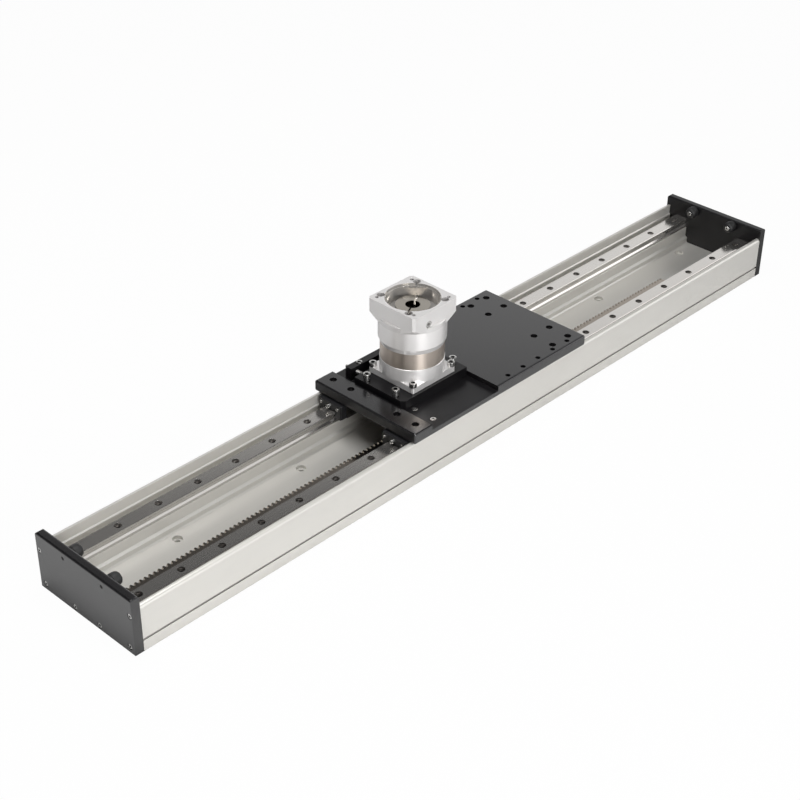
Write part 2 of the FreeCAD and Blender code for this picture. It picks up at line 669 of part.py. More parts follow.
def block(name, x, y):
    body = new_body(name, x, y, "seat_height")
    face = new_sketch(body, "YZ", "-block_body_length / 2")
    outline(face, saddle_outline("block_width / 2", "0.40 * rail_height", "block_height"))
    saddle = pad(body, face, "block_body_length")
    round_edges(body, saddle, "0.04 * block_width", lambda p: near(p.z, size("block_height"))
                and near(abs(p.y), size("block_width") / 2), "Chamfer")
    holes = new_sketch(body, "XY", "block_height")
    for dx in (1, -1):
        for dy in (1, -1):
            circle(holes, "%d * block_hole_spacing / 2" % dx, "%d * block_hole_spacing / 2" % dy,
                   "block_screw_shank")
    pocket(body, holes, "block_height - block_bore_height - 3")


def block_ends(name, x, y):
    """The caps at both ends of one block, slightly smaller than the steel body."""
    body = new_body(name, x, y, "seat_height")
    for low in ("-block_body_length / 2 - end_cap_length", "block_body_length / 2"):
        face = new_sketch(body, "YZ", low)
        outline(face, saddle_outline("block_width / 2 - cap_inset", "0.40 * rail_height",
                                     "block_height - cap_inset"))
        pad(body, face, "end_cap_length")


def block_seals(name, x, y):
    body = new_body(name, x, y, "seat_height")
    for low in ("-block_body_length / 2 - end_cap_length - seal_thickness",
                "block_body_length / 2 + end_cap_length"):
        face = new_sketch(body, "YZ", low)
        outline(face, saddle_outline("block_width / 2 - 2 * cap_inset", "0.40 * rail_height",
                                     "block_height - 2 * cap_inset"))
        pad(body, face, "seal_thickness")


for row_name, row_y in (("near", "-rail_y"), ("far", "rail_y")):
    for end_name, end_x in (("left", "-block_x"), ("right", "block_x")):
        block("%s_%s_block" % (row_name, end_name), end_x, row_y)
        block_ends("%s_%s_end_caps" % (row_name, end_name), end_x, row_y)
        block_seals("%s_%s_seals" % (row_name, end_name), end_x, row_y)


def block_screws(name, first_column, columns, head_height):
    """Screws of the blocks, one column of four after the other along X, heads in their counterbores."""
    body = new_body(name, first_column, "0", "block_top + block_shoulder")
    head = new_sketch(body, "XY", "0")
    shank = new_sketch(body, "XY", "-block_shoulder - 8")
    for row in (1, -1):
        for dy in (1, -1):
            y = "%d * rail_y + %d * block_hole_spacing / 2" % (row, dy)
            for x in columns:
                circle(head, x, y, "block_screw_head")
                circle(shank, x, y, "block_screw_shank")
    pad(body, head, head_height)
    pad(body, shank, "block_shoulder + 8")


block_screws("block_screws", "-block_x - block_hole_spacing / 2",
             ("0", "block_spacing", "block_spacing + block_hole_spacing"), "block_screw_head_height")
block_screws("recess_screws", "block_hole_spacing / 2 - block_x", ("0",), "low_head_height")


# Carriage plate
# One black anodised plate across both rails, milled down in a band where the gearbox sits.

carriage = new_body("carriage_plate")
face = new_sketch(carriage, "XY", "block_top")
rectangle(face, "-carriage_end", "carriage_end", "-carriage_width / 2", "carriage_width / 2")
plate = pad(carriage, face, "carriage_thickness")
plate = round_edges(carriage, plate, "plate_corner_radius",
                    lambda p: near(abs(p.x), size("carriage_end"))
                    and near(abs(p.y), size("carriage_width") / 2))
recess = new_sketch(carriage, "XY", "carriage_top")
rectangle(recess, "recess_start_x", "recess_end_x", "-carriage_width / 2 - 1", "carriage_width / 2 + 1")
pocket(carriage, recess, "recess_depth")
opening = new_sketch(carriage, "XY", "carriage_top")
circle(opening, "gear_x", "gear_y", "pinion_opening")
pocket(carriage, opening, "carriage_thickness")
for width, depth in (("block_head_hole", "carriage_thickness - block_shoulder"),
                     ("block_hole", "carriage_thickness")):
    holes = new_sketch(carriage, "XY", "carriage_top")
    for row in (1, -1):
        for dy in (1, -1):
            for end in (1, -1):
                for dx in (1, -1):
                    circle(holes, "%d * block_x + %d * block_hole_spacing / 2" % (end, dx),
                           "%d * rail_y + %d * block_hole_spacing / 2" % (row, dy), width)
    pocket(carriage, holes, depth)
loads = new_sketch(carriage, "XY", "carriage_top")
for row in (1, -1):
    circle(loads, "load_hole_start_x", "%d * load_line_spacing / 2" % row, "load_hole")
load_holes = pocket(carriage, loads, "carriage_thickness")
pattern_x(carriage, [load_holes], "load_hole_pitch", "load_hole_count")


# Adapter plate
# It carries the gearbox, and slides across the recess on slotted holes to set the mesh.

adapter = new_body("adapter_plate")
face = new_sketch(adapter, "XY", "recess_floor")
rectangle(face, "adapter_centre_x - adapter_width / 2", "adapter_centre_x + adapter_width / 2",
          "gear_y - adapter_depth / 2", "gear_y + adapter_depth / 2")
plate = pad(adapter, face, "adapter_thickness")
plate = round_edges(adapter, plate, "adapter_chamfer",
                    lambda p: near(p.y, size("gear_y") - size("adapter_depth") / 2)
                    and near(p.x, size("adapter_centre_x") - size("adapter_width") / 2), "Chamfer")
bore = new_sketch(adapter, "XY", "adapter_top")
circle(bore, "gear_x", "gear_y", "pilot_diameter")
pocket(adapter, bore, "adapter_thickness")
clamps = new_sketch(adapter, "XY", "adapter_top")
for dx in (1, -1):
    for dy in (1, -1):
        slot(clamps, "clamp_centre_x + %d * clamp_spacing_x / 2" % dx,
             "clamp_y + %d * clamp_spacing_y / 2" % dy, "clamp_hole", "clamp_slot")
pocket(adapter, clamps, "adapter_thickness")
threads = new_sketch(adapter, "XY", "adapter_top")
for dx in (1, -1):
    for dy in (1, -1):
        circle(threads, "gear_x + %d * flange_hole_circle / sqrt(8)" % dx,
               "gear_y + %d * flange_hole_circle / sqrt(8)" % dy, "flange_hole - 1.4")
pocket(adapter, threads, "adapter_thickness - 2")


def corner_group(name, x, y, spread_x, spread_y, z, steps):
    """Four upright round pieces at the corners of a rectangle: steps are (diameter, from, to)."""
    body = new_body(name, x, y, z)
    for diameter, low, length in steps:
        level = new_sketch(body, "XY", low)
        for dx in (1, -1):
            for dy in (1, -1):
                circle(level, "%d * (%s) / 2" % (dx, spread_x), "%d * (%s) / 2" % (dy, spread_y), diameter)
        pad(body, level, length)


corner_group("adapter_clamp_collars", "clamp_centre_x", "clamp_y", "clamp_spacing_x", "clamp_spacing_y",
             "adapter_top", [("clamp_collar", "0", "clamp_collar_height")])
corner_group("adapter_clamp_screws", "clamp_centre_x", "clamp_y", "clamp_spacing_x", "clamp_spacing_y",
             "adapter_top + clamp_collar_height", [("clamp_head", "0", "clamp_head_height")])


# Adjusting bar, its screws and the two adjusting screws that push the adapter plate

bar = new_body("adjusting_bar", "gear_x", "bar_y", "recess_floor")
face = new_sketch(bar, "XY")
rectangle(face, "-bar_length / 2", "bar_length / 2", "-bar_depth / 2", "bar_depth / 2")
pad(bar, face, "bar_height")
for width, depth in (("bar_head_hole", "bar_head_depth"), ("bar_hole", "bar_height")):
    holes = new_sketch(bar, "XY", "bar_height")
    for dx in (1, -1):
        circle(holes, "%d * bar_screw_spacing / 2" % dx, "0", width)
    pocket(bar, holes, depth)
holes = new_sketch(bar, "XZ", "-bar_depth / 2")
for dx in (1, -1):
    circle(holes, "%d * adjuster_spacing / 2" % dx, "adjuster_height", "adjuster_diameter")
pocket(bar, holes, "bar_depth", along_normal=False)

bar_screws = new_body("adjusting_bar_screws", "gear_x", "bar_y", "recess_floor + bar_height - bar_head_depth")
head = new_sketch(bar_screws, "XY")
shank = new_sketch(bar_screws, "XY", "bar_head_depth - bar_height")
for dx in (1, -1):
    circle(head, "%d * bar_screw_spacing / 2" % dx, "0", "bar_screw_head")
    circle(shank, "%d * bar_screw_spacing / 2" % dx, "0", "bar_hole - 0.5")
pad(bar_screws, head, "bar_screw_head_height")
pad(bar_screws, shank, "bar_height - bar_head_depth")

adjusters = new_body("adjusting_screws", "gear_x", "gear_y + adapter_depth / 2",
                     "recess_floor + adjuster_height")
rod = new_sketch(adjusters, "XZ", "bar_gap + bar_depth + lock_nut_height + 5")
nut = new_sketch(adjusters, "XZ", "bar_gap + bar_depth + lock_nut_height")
for dx in (1, -1):
    x = "%d * adjuster_spacing / 2" % dx
    circle(rod, x, "0", "adjuster_diameter")
    outline(nut, [("%s + lock_nut_width * %.6f" % (x, math.cos(math.radians(a)) / math.sqrt(3)),
                   "lock_nut_width * %.6f" % (math.sin(math.radians(a)) / math.sqrt(3)))
                  for a in range(0, 360, 60)])
pad(adjusters, rod, "bar_gap + bar_depth + lock_nut_height + 5")
pad(adjusters, nut, "lock_nut_height")


# Gearbox housings
# All of them stand on one upright axis through the pinion, from the adapter plate to the open flange.

output = new_body("output_housing", "gear_x", "gear_y")
face = new_sketch(output, "XY", "adapter_top")
rectangle(face, "-flange_width / 2", "flange_width / 2", "-flange_width / 2", "flange_width / 2")
square = pad(output, face, "flange_thickness + foot_flare")
round_edges(output, square, "flange_corner_radius", lambda p: near(abs(p.x), size("flange_width") / 2)
            and near(abs(p.y), size("flange_width") / 2))
revolved(output, "Groove", [
    ("hub_diameter / 2", "flange_top + foot_flare + 1"), ("hub_diameter / 2", "flange_top + foot_flare"),
    ("hub_diameter / 2 + foot_flare", "flange_top"), ("flange_width", "flange_top"),
    ("flange_width", "flange_top + foot_flare + 1")])
revolved(output, "Revolution", [
    ("0", "adapter_top - pilot_height"), ("pilot_diameter / 2 - running_fit", "adapter_top - pilot_height"),
    ("pilot_diameter / 2 - running_fit", "adapter_top + 1"), ("hub_diameter / 2 - 1", "adapter_top + 1"),
    ("hub_diameter / 2 - 1", "flange_top"), ("hub_diameter / 2", "flange_top + 1"),
    ("hub_diameter / 2", "hub_top - 0.6"), ("hub_diameter / 2 - 0.6", "hub_top"), ("0", "hub_top")])
heads = new_sketch(output, "XY", "flange_top")
shanks = new_sketch(output, "XY", "adapter_top")
for dx in (1, -1):
    for dy in (1, -1):
        circle(heads, "%d * flange_hole_circle / sqrt(8)" % dx, "%d * flange_hole_circle / sqrt(8)" % dy,
               "head_pocket")
        circle(shanks, "%d * flange_hole_circle / sqrt(8)" % dx, "%d * flange_hole_circle / sqrt(8)" % dy,
               "flange_hole")
pocket(output, heads, "hub_height", along_normal=True)
pocket(output, shanks, "flange_thickness", along_normal=True)
revolved(output, "Groove", [
    ("0", "adapter_top - pilot_height - 1"), ("seal_outer / 2", "adapter_top - pilot_height - 1"),
    ("seal_outer / 2", "adapter_top - pilot_height + seal_width"),
    ("journal_diameter / 2 + 2", "adapter_top - pilot_height + seal_width"),
    ("journal_diameter / 2 + 2", "adapter_top - pilot_height + seal_width + 2"),
    ("bearing_outer / 2", "adapter_top - pilot_height + seal_width + 2"),
    ("bearing_outer / 2", "carrier_base - cavity_gap"),
    ("carrier_diameter / 2 + cavity_gap", "carrier_base - cavity_gap"),
    ("carrier_diameter / 2 + cavity_gap", "hub_top + 1"), ("0", "hub_top + 1")])

corner_group("flange_screws", "gear_x", "gear_y", "flange_hole_circle / sqrt(2)",
             "flange_hole_circle / sqrt(2)", "flange_top",
             [("flange_hole - 0.6", "-flange_thickness", "flange_thickness"),
              ("flange_screw_head", "0", "flange_screw_head_height")])

ring_space_root = size("gear_module") * (size("ring_teeth") / 2 - size("addendum"))
ring_space_tip = size("gear_module") * (size("ring_teeth") / 2 + size("dedendum"))
spaces = involute_outline(int(size("ring_teeth")), size("gear_module"), normal_angle, ring_space_tip,
                          ring_space_root, -size("backlash"), math.pi / size("ring_teeth"), points=2)
ring_body = cylinder(size("ring_diameter"), 0, size("ring_height"))
ring_hole = Part.Face(closed_wire(spaces)).extrude(V(0, 0, size("ring_height")))
add_shape("ring_gear", ring_body.cut(ring_hole), size("gear_x"), size("gear_y"), size("hub_top"))

upper = new_body("input_housing", "gear_x", "gear_y")
revolved(upper, "Revolution", [
    ("carrier_diameter / 2 + cavity_gap", "ring_top"), ("ring_diameter / 2", "ring_top"),
    ("ring_diameter / 2 + 0.5", "ring_top + band_taper"), ("body_diameter / 2 - 1.2", "band_top - 1.5"),
    ("body_diameter / 2", "band_top"), ("body_diameter / 2", "motor_base"),
    ("clamp_hub_diameter / 2 + 3", "motor_base"),
    ("clamp_hub_diameter / 2 + 3", "carrier_top + cavity_gap + 4 + input_bearing_width"),
    ("input_bearing_outer / 2", "carrier_top + cavity_gap + 4 + input_bearing_width"),
    ("input_bearing_outer / 2", "carrier_top + cavity_gap + 4"),
    ("input_journal / 2 + 3", "carrier_top + cavity_gap + 4"),
    ("input_journal / 2 + 3", "carrier_top + cavity_gap"),
    ("carrier_diameter / 2 + cavity_gap", "carrier_top + cavity_gap")])

thread = new_sketch(upper, "XY", "motor_base")
circle(thread, "retaining_x", "retaining_y", "retaining_hole - 0.5")
pattern_polar(upper, [pocket(upper, thread, "9")], "4")

# The motor flange is a square block whose lower corners are turned to a cone that runs into the body.

motor = new_body("motor_flange", "gear_x", "gear_y")
face = new_sketch(motor, "XY", "motor_base")
half = "motor_width / 2"
cut_half = "motor_width / 2 - motor_chamfer"
octagon = [(half, cut_half), (cut_half, half), ("-(%s)" % cut_half, half), ("-(%s)" % half, cut_half)]
octagon += [("-(%s)" % half, "-(%s)" % cut_half), ("-(%s)" % cut_half, "-(%s)" % half),
            (cut_half, "-(%s)" % half), (half, "-(%s)" % cut_half)]
outline(face, octagon)
pad(motor, face, "motor_top - motor_base")
revolved(motor, "Groove", [
    ("body_diameter / 2", "motor_base - 1"), ("body_diameter / 2", "motor_base"),
    ("motor_corner_diameter / 2", "motor_base + motor_cone_height"),
    ("motor_width", "motor_base + motor_cone_height"), ("motor_width", "motor_base - 1")])
revolved(motor, "Revolution", [
    ("0", "motor_base"), ("body_diameter / 2", "motor_base"),
    ("body_diameter / 2", "motor_base + motor_step_height - 0.6"),
    ("body_diameter / 2 - 0.6", "motor_base + motor_step_height"), ("0", "motor_base + motor_step_height")])
revolved(motor, "Groove", [
    ("0", "motor_base - 1"), ("clamp_hub_diameter / 2 + 3", "motor_base - 1"),
    ("clamp_hub_diameter / 2 + 3", "motor_base + 3"), ("motor_pilot / 2", "motor_base + 8"),
    ("motor_pilot / 2", "motor_top - motor_pilot_depth"), ("motor_bore / 2", "motor_top - motor_pilot_depth"),
    ("motor_bore / 2", "motor_top + 1"), ("0", "motor_top + 1")])
holes = new_sketch(motor, "XY", "motor_top")
for dx in (1, -1):
    for dy in (1, -1):
        circle(holes, "%d * motor_hole_circle / sqrt(8)" % dx, "%d * motor_hole_circle / sqrt(8)" % dy,
               "motor_hole")
pocket(motor, holes, "motor_hole_depth")
seat = new_sketch(motor, "XY", "motor_top")
circle(seat, "retaining_x", "retaining_y", "retaining_head_hole")
clear = new_sketch(motor, "XY", "motor_top")
circle(clear, "retaining_x", "retaining_y", "retaining_hole")
retaining = [pocket(motor, seat, "retaining_depth"), pocket(motor, clear, "motor_top - motor_base")]
pattern_polar(motor, retaining, "4")
access = new_sketch(motor, "XZ", "-motor_width / 2")
circle(access, "access_offset_x", "access_height", "access_diameter")
pocket(motor, access, "motor_width / 2 - clamp_hub_diameter / 2 - 4", along_normal=False)

retaining_screws = new_body("motor_flange_screws", "gear_x", "gear_y")
head = new_sketch(retaining_screws, "XY", "motor_top - retaining_depth")
circle(head, "retaining_x", "retaining_y", "retaining_head")
shank = new_sketch(retaining_screws, "XY", "motor_base - 8")
circle(shank, "retaining_x", "retaining_y", "retaining_hole - 0.5")
screw = [pad(retaining_screws, head, "retaining_head_height"),
         pad(retaining_screws, shank, "motor_top - retaining_depth - motor_base + 8")]
pattern_polar(retaining_screws, screw, "4")

plug = new_body("access_plug", "gear_x + access_offset_x", "gear_y - motor_width / 2", "access_height")
face = new_sketch(plug, "XZ", "plug_length")
circle(face, "0", "0", "access_diameter")
pad(plug, face, "plug_length - 0.5")


# Output shaft, carrier and pins

fit = size("running_fit")
gear_axis = (size("gear_x"), size("gear_y"))

shaft = new_body("output_shaft", "gear_x", "gear_y")
revolved(shaft, "Revolution", [
    ("0", "shaft_end"), ("shaft_diameter / 2 - 1", "shaft_end"), ("shaft_diameter / 2", "shaft_end + 1"),
    ("shaft_diameter / 2", "adapter_top - pilot_height - 2"),
    ("journal_diameter / 2", "adapter_top - pilot_height - 2"),
    ("journal_diameter / 2", "carrier_base - 1"), ("journal_diameter / 2 + 3", "carrier_base - 1"),
    ("journal_diameter / 2 + 3", "carrier_base"), ("carrier_diameter / 2", "carrier_base"),
    ("carrier_diameter / 2", "carrier_base + carrier_thickness"), ("0", "carrier_base + carrier_thickness")])
pins = new_sketch(shaft, "XY", "carrier_base + carrier_thickness")
circle(pins, "planet_orbit", "0", "planet_pin")
pin_hole = pocket(shaft, pins, "carrier_thickness")
pattern_polar(shaft, [pin_hole], "planet_count")
keyway = new_sketch(shaft, "XY", "pinion_top + pinion_hub_height - 2")
rectangle(keyway, "shaft_diameter / 2 - key_height / 2", "shaft_diameter / 2 + 1",
          "-key_width / 2", "key_width / 2")
pocket(shaft, keyway, "key_length")
thread = new_sketch(shaft, "XY", "shaft_end")
circle(thread, "0", "0", "retainer_screw_hole")
pocket(shaft, thread, "16", along_normal=True)

pin_group = new_body("planet_pins", "gear_x", "gear_y")
foot = new_sketch(pin_group, "XY", "carrier_base")
circle(foot, "planet_orbit", "0", "planet_pin")
pin = pad(pin_group, foot, "carrier_top - carrier_base")
pattern_polar(pin_group, [pin], "planet_count")

cover = new_body("carrier_cover", "gear_x", "gear_y")
revolved(cover, "Revolution", [
    ("gear_module * (sun_teeth / 2 + addendum) + 1.5", "gear_top + gear_side_gap"),
    ("carrier_diameter / 2", "gear_top + gear_side_gap"),
    ("carrier_diameter / 2", "carrier_top"),
    ("gear_module * (sun_teeth / 2 + addendum) + 1.5", "carrier_top")])
pins = new_sketch(cover, "XY", "carrier_top")
circle(pins, "planet_orbit", "0", "planet_pin")
pin_hole = pocket(cover, pins, "carrier_thickness")
pattern_polar(cover, [pin_hole], "planet_count")


# Planets and sun
# Each planet shows a tooth space to the sun and to the ring on the line through both centres.

def planet(k):
    angle = 2 * math.pi * k / size("planet_count")
    teeth = int(size("planet_teeth"))
    module = size("gear_module")
    corners = involute_outline(teeth, module, normal_angle, module * (teeth / 2 + size("addendum")),
                               module * (teeth / 2 - size("dedendum")), size("backlash"),
                               angle + math.pi / teeth, points=2)
    gear = Part.Face(closed_wire(corners)).extrude(V(0, 0, size("gear_width")))
    gear = gear.cut(cylinder(size("planet_pin") + 2 * size("planet_bore_gap"), 0, size("gear_width")))
    orbit = size("planet_orbit")
    add_shape("planet_gear_%d" % (k + 1), gear, size("gear_x") + orbit * math.cos(angle),
              size("gear_y") + orbit * math.sin(angle), size("gear_base"))


for k in range(int(size("planet_count"))):
    planet(k)


def sun_shaft():
    """Sun gear, journal and split clamp hub in one piece, from the planets up to the motor's shaft."""
    teeth = int(size("sun_teeth"))
    module = size("gear_module")
    corners = involute_outline(teeth, module, normal_angle, module * (teeth / 2 + size("addendum")),
                               module * (teeth / 2 - size("dedendum")), size("backlash"), 0.0, points=3)
    base_z = size("gear_base")
    journal_z = size("carrier_top") + 1
    gear = Part.Face(closed_wire(corners, base_z)).extrude(V(0, 0, journal_z - base_z))
    hub_top = size("motor_top") - size("clamp_hub_drop")
    hub_base = hub_top - size("clamp_hub_length")
    body = gear.fuse(cylinder(size("input_journal"), journal_z, hub_base))
    body = body.fuse(cylinder(size("clamp_hub_diameter"), hub_base, hub_top))
    body = body.cut(cylinder(size("motor_shaft_bore"), hub_top - size("motor_shaft_depth"), hub_top + 1))
    wide = size("clamp_hub_diameter") + 2
    slit = Part.makeBox(wide, size("clamp_slit"), size("clamp_hub_length"),
                        V(-wide / 2, -size("clamp_slit") / 2, hub_base + 4))
    cross, seat = hub_screw_place()
    cut = slit.fuse(round_bar(size("hub_screw") + 0.2, cross - seat * 1.1, cross + seat))
    cut = cut.fuse(round_bar(size("hub_screw_head") + 0.6, cross + seat, cross + seat * 2.5))
    cut.rotate(V(0, 0, 0), V(0, 0, 1), size("slit_angle"))
    return body.cut(cut).removeSplitter()


def hub_screw_place():
    """Where the clamp screw crosses the slit, and how far from there its head seats."""
    height = size("motor_top") - size("clamp_hub_drop") - size("hub_screw_drop")
    return V(size("hub_screw_offset"), 0, height), V(0, size("hub_screw_seat"), 0)


def round_bar(diameter, start, end):
    return Part.makeCylinder(diameter / 2, (end - start).Length, start, end - start)


add_shape("input_shaft", sun_shaft(), *gear_axis)

cross, seat = hub_screw_place()
hub_screw = round_bar(size("hub_screw"), cross - V(0, size("hub_screw_seat"), 0), cross + seat)
hub_screw = hub_screw.fuse(round_bar(size("hub_screw_head"), cross + seat, cross + seat * 1.5))
add_shape("hub_clamp_screw", hub_screw, *gear_axis, turn=size("slit_angle"))


# Bearings and seal, as closed rings that sit in the housings

def ring(name, outer, inner, base_z, width):
    body = new_body(name, "gear_x", "gear_y", base_z)
    revolved(body, "Revolution", [
        ("(%s) / 2" % inner, "0"), ("(%s) / 2" % outer, "0"),
        ("(%s) / 2" % outer, width), ("(%s) / 2" % inner, width)])


SEAL_Z = "adapter_top - pilot_height"
ring("shaft_seal", "seal_outer", "journal_diameter + 2 * running_fit", SEAL_Z, "seal_width")
ring("lower_output_bearing", "bearing_outer", "journal_diameter + 2 * running_fit",
     "%s + seal_width + 2" % SEAL_Z, "bearing_width")
ring("upper_output_bearing", "bearing_outer", "journal_diameter + 2 * running_fit",
     "carrier_base - cavity_gap - bearing_width", "bearing_width")
ring("input_bearing", "input_bearing_outer", "input_journal + 2 * running_fit",
     "carrier_top + cavity_gap + 4", "input_bearing_width")


# Pinion
# Helical teeth below a plain hub: the tooth outline is turned as it rises, in two flat-faced spans.

def pinion_gear():
    teeth = int(size("pinion_teeth"))
    module = size("rack_module")
    radius = size("pitch_radius")
    gaps = (size("gear_x") - size("rack_start_x")) / size("tooth_pitch")
    lead = (round(gaps) - gaps) * size("tooth_pitch") / radius
    tip = radius + size("normal_module")
    root = radius - 1.25 * size("normal_module")
    corners = involute_outline(teeth, module, transverse_angle, tip, root, size("rack_backlash") / 2,
                               -math.pi / 2 + lead)
    levels = [size("pinion_base") + size("pinion_width") * i / 2 for i in range(3)]
    rings = []
    for z in levels:
        wire = closed_wire(corners, z, (z - rack_middle_z) * math.tan(helix_angle) / radius)
        rings.append([v.Point for v in wire.OrderedVertexes])
    faces = [Part.Face(Part.makePolygon(points + points[:1])) for points in (rings[0], rings[-1])]
    for low, high in zip(rings, rings[1:]):
        for i in range(len(low)):
            j = (i + 1) % len(low)
            for corner in ((low[i], low[j], high[j]), (low[i], high[j], high[i])):
                faces.append(Part.Face(Part.makePolygon(list(corner) + [corner[0]])))
    body = Part.Solid(Part.Shell(faces))
    if body.Volume < 0:
        body.reverse()
    body = body.fuse(cylinder(size("pinion_hub"), size("pinion_top"),
                              size("pinion_top") + size("pinion_hub_height")))
    top = size("pinion_top") + size("pinion_hub_height")
    body = body.cut(cylinder(size("shaft_diameter"), size("pinion_base") - 1, top + 1))
    body = body.cut(cylinder(size("retainer_diameter") + 1, size("pinion_base") - 1, size("shaft_end")))
    keyway = Part.makeBox(size("shaft_diameter") / 2 + size("key_height") / 2, size("key_width"),
                          top - size("shaft_end") + 1, V(0, -size("key_width") / 2, size("shaft_end")))
    return body.cut(keyway)


add_shape("pinion", pinion_gear(), *gear_axis)

key = new_body("pinion_key", "gear_x", "gear_y")
face = new_sketch(key, "XY", "pinion_top + pinion_hub_height - 2 - key_length")
rectangle(face, "shaft_diameter / 2 - key_height / 2", "shaft_diameter / 2 + key_height / 2",
          "-key_width / 2", "key_width / 2")
pad(key, face, "key_length")

retainer = new_body("pinion_washer", "gear_x", "gear_y", "shaft_end - retainer_thickness")
revolved(retainer, "Revolution", [
    ("retainer_screw_hole / 2", "0"), ("retainer_diameter / 2", "0"),
    ("retainer_diameter / 2", "retainer_thickness"), ("retainer_screw_hole / 2", "retainer_thickness")])

bolt = new_body("pinion_screw", "gear_x", "gear_y", "shaft_end - retainer_thickness")
revolved(bolt, "Revolution", [
    ("0", "-retainer_screw_head_height"), ("retainer_screw_head / 2", "-retainer_screw_head_height"),
    ("retainer_screw_head / 2", "0"), ("retainer_screw_hole / 2", "0"),
    ("retainer_screw_hole / 2", "retainer_thickness + 15"), ("0", "retainer_thickness + 15")])


# Check every object, then write one file for each piece

doc.recompute()
failed = [o.Name for o in doc.Objects if "Invalid" in o.State or "Error" in o.State]
pieces = [o for o in doc.Objects if o.TypeId in ("PartDesign::Body", "Part::Feature")]
for piece in pieces:
    if piece.Shape.isNull() or not piece.Shape.isValid():
        failed.append(piece.Label)
if failed:
    raise RuntimeError("failed: " + ", ".join(failed))

os.makedirs("parts", exist_ok=True)
for piece in pieces:
    piece.Shape.exportStep("parts/%s.step" % piece.Label)
print("%d pieces, %d solids" % (len(pieces), sum(len(p.Shape.Solids) for p in pieces)))
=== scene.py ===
import json
import math

import bmesh
import bpy
from mathutils import Matrix, Vector


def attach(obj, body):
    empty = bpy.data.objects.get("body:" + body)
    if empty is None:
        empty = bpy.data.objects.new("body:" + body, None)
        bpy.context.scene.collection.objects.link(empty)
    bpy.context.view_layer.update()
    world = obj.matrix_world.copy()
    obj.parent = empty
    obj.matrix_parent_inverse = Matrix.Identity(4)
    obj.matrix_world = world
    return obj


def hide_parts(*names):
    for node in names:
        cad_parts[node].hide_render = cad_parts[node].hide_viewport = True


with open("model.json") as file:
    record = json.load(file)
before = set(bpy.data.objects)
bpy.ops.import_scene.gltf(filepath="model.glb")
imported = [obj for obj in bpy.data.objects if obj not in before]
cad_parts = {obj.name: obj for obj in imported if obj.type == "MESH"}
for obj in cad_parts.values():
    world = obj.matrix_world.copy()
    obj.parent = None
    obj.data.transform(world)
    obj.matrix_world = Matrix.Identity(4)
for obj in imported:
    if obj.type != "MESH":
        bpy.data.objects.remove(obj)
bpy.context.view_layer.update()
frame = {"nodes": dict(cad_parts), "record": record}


# The studio: a sheet of white paper, white walls, a dim ceiling and large soft lamps. Paper and
# walls read as white to the camera, polished metal mirrors them, and the paper keeps a faint
# shadow under the module.

def linear(hex_colour):
    """An sRGB hex colour as the linear RGBA that a shader socket takes."""
    channels = [int(hex_colour[i:i + 2], 16) / 255 for i in (1, 3, 5)]
    return [c / 12.92 if c <= 0.04045 else ((c + 0.055) / 1.055) ** 2.4 for c in channels] + [1.0]


def add(tree, kind, settings=None, **links):
    """Add a node: settings by attribute or socket name, links by socket name or, as i0, by number."""
    node = tree.nodes.new(kind)
    for key, value in (settings or {}).items():
        if hasattr(node, key) and key not in node.inputs:
            setattr(node, key, value)
        else:
            node.inputs[key].default_value = value
    for key, source in links.items():
        tree.links.new(source, node.inputs[int(key[1:]) if key[1:].isdigit() else key.replace("_", " ")])
    return node


# Level surfaces mirror to the camera the height where the white walls give way to a dim ceiling. Matt
# surfaces get only a share of that light, so that the lamps shape them. Only the camera and clear
# pieces see the whole surround plain white.
wall_top = math.sin(math.radians(31.5))
ceiling_start = math.sin(math.radians(35.2))
ceiling_light = 0.05
matt_share = 0.34
world = bpy.data.worlds.new("white_walls_dim_ceiling")
bpy.context.scene.world = world
world.use_nodes = True
sky = world.node_tree
sky.nodes.clear()
rays = add(sky, "ShaderNodeLightPath")
direction = add(sky, "ShaderNodeTexCoord")
height = add(sky, "ShaderNodeSeparateXYZ", None, i0=direction.outputs["Generated"])
wall = add(sky, "ShaderNodeMapRange", {"From Min": wall_top, "From Max": ceiling_start, "To Min": 1.0,
                                       "To Max": ceiling_light}, Value=height.outputs["Z"])
# A dark flag stands behind the module on its left, so that the left sides of upright pieces fall off.
flag_direction = (-0.75, 0.66, 0.0)
flag_start, flag_full, flag_light = 0.15, 0.5, 0.2
sideways = add(sky, "ShaderNodeVectorMath", {"operation": "DOT_PRODUCT"}, i0=direction.outputs["Generated"])
sideways.inputs[1].default_value = flag_direction
flag = add(sky, "ShaderNodeMapRange", {"From Min": flag_start, "From Max": flag_full, "To Min": 1.0,
                                       "To Max": flag_light}, Value=sideways.outputs["Value"])
flagged = add(sky, "ShaderNodeMath", {"operation": "MULTIPLY"}, i0=wall.outputs[0], i1=flag.outputs[0])
on_matt = add(sky, "ShaderNodeMath", {"operation": "MULTIPLY"}, i0=flagged.outputs[0])
on_matt.inputs[1].default_value = matt_share
strength = add(sky, "ShaderNodeMix", {"data_type": "FLOAT"}, Factor=rays.outputs["Is Glossy Ray"],
               A=on_matt.outputs[0], B=flagged.outputs[0])
room = add(sky, "ShaderNodeBackground", {"Color": linear("#FFFFFF")}, Strength=strength.outputs[0])
plain = add(sky, "ShaderNodeBackground", {"Color": linear("#FFFFFF"), "Strength": 1.0})
seen = add(sky, "ShaderNodeMath", {"operation": "MAXIMUM"}, i0=rays.outputs["Is Camera Ray"],
           i1=rays.outputs["Is Transmission Ray"])
mixed = add(sky, "ShaderNodeMixShader", None, i0=seen.outputs[0], i1=room.outputs[0], i2=plain.outputs[0])
add(sky, "ShaderNodeOutputWorld", None, Surface=mixed.outputs[0])

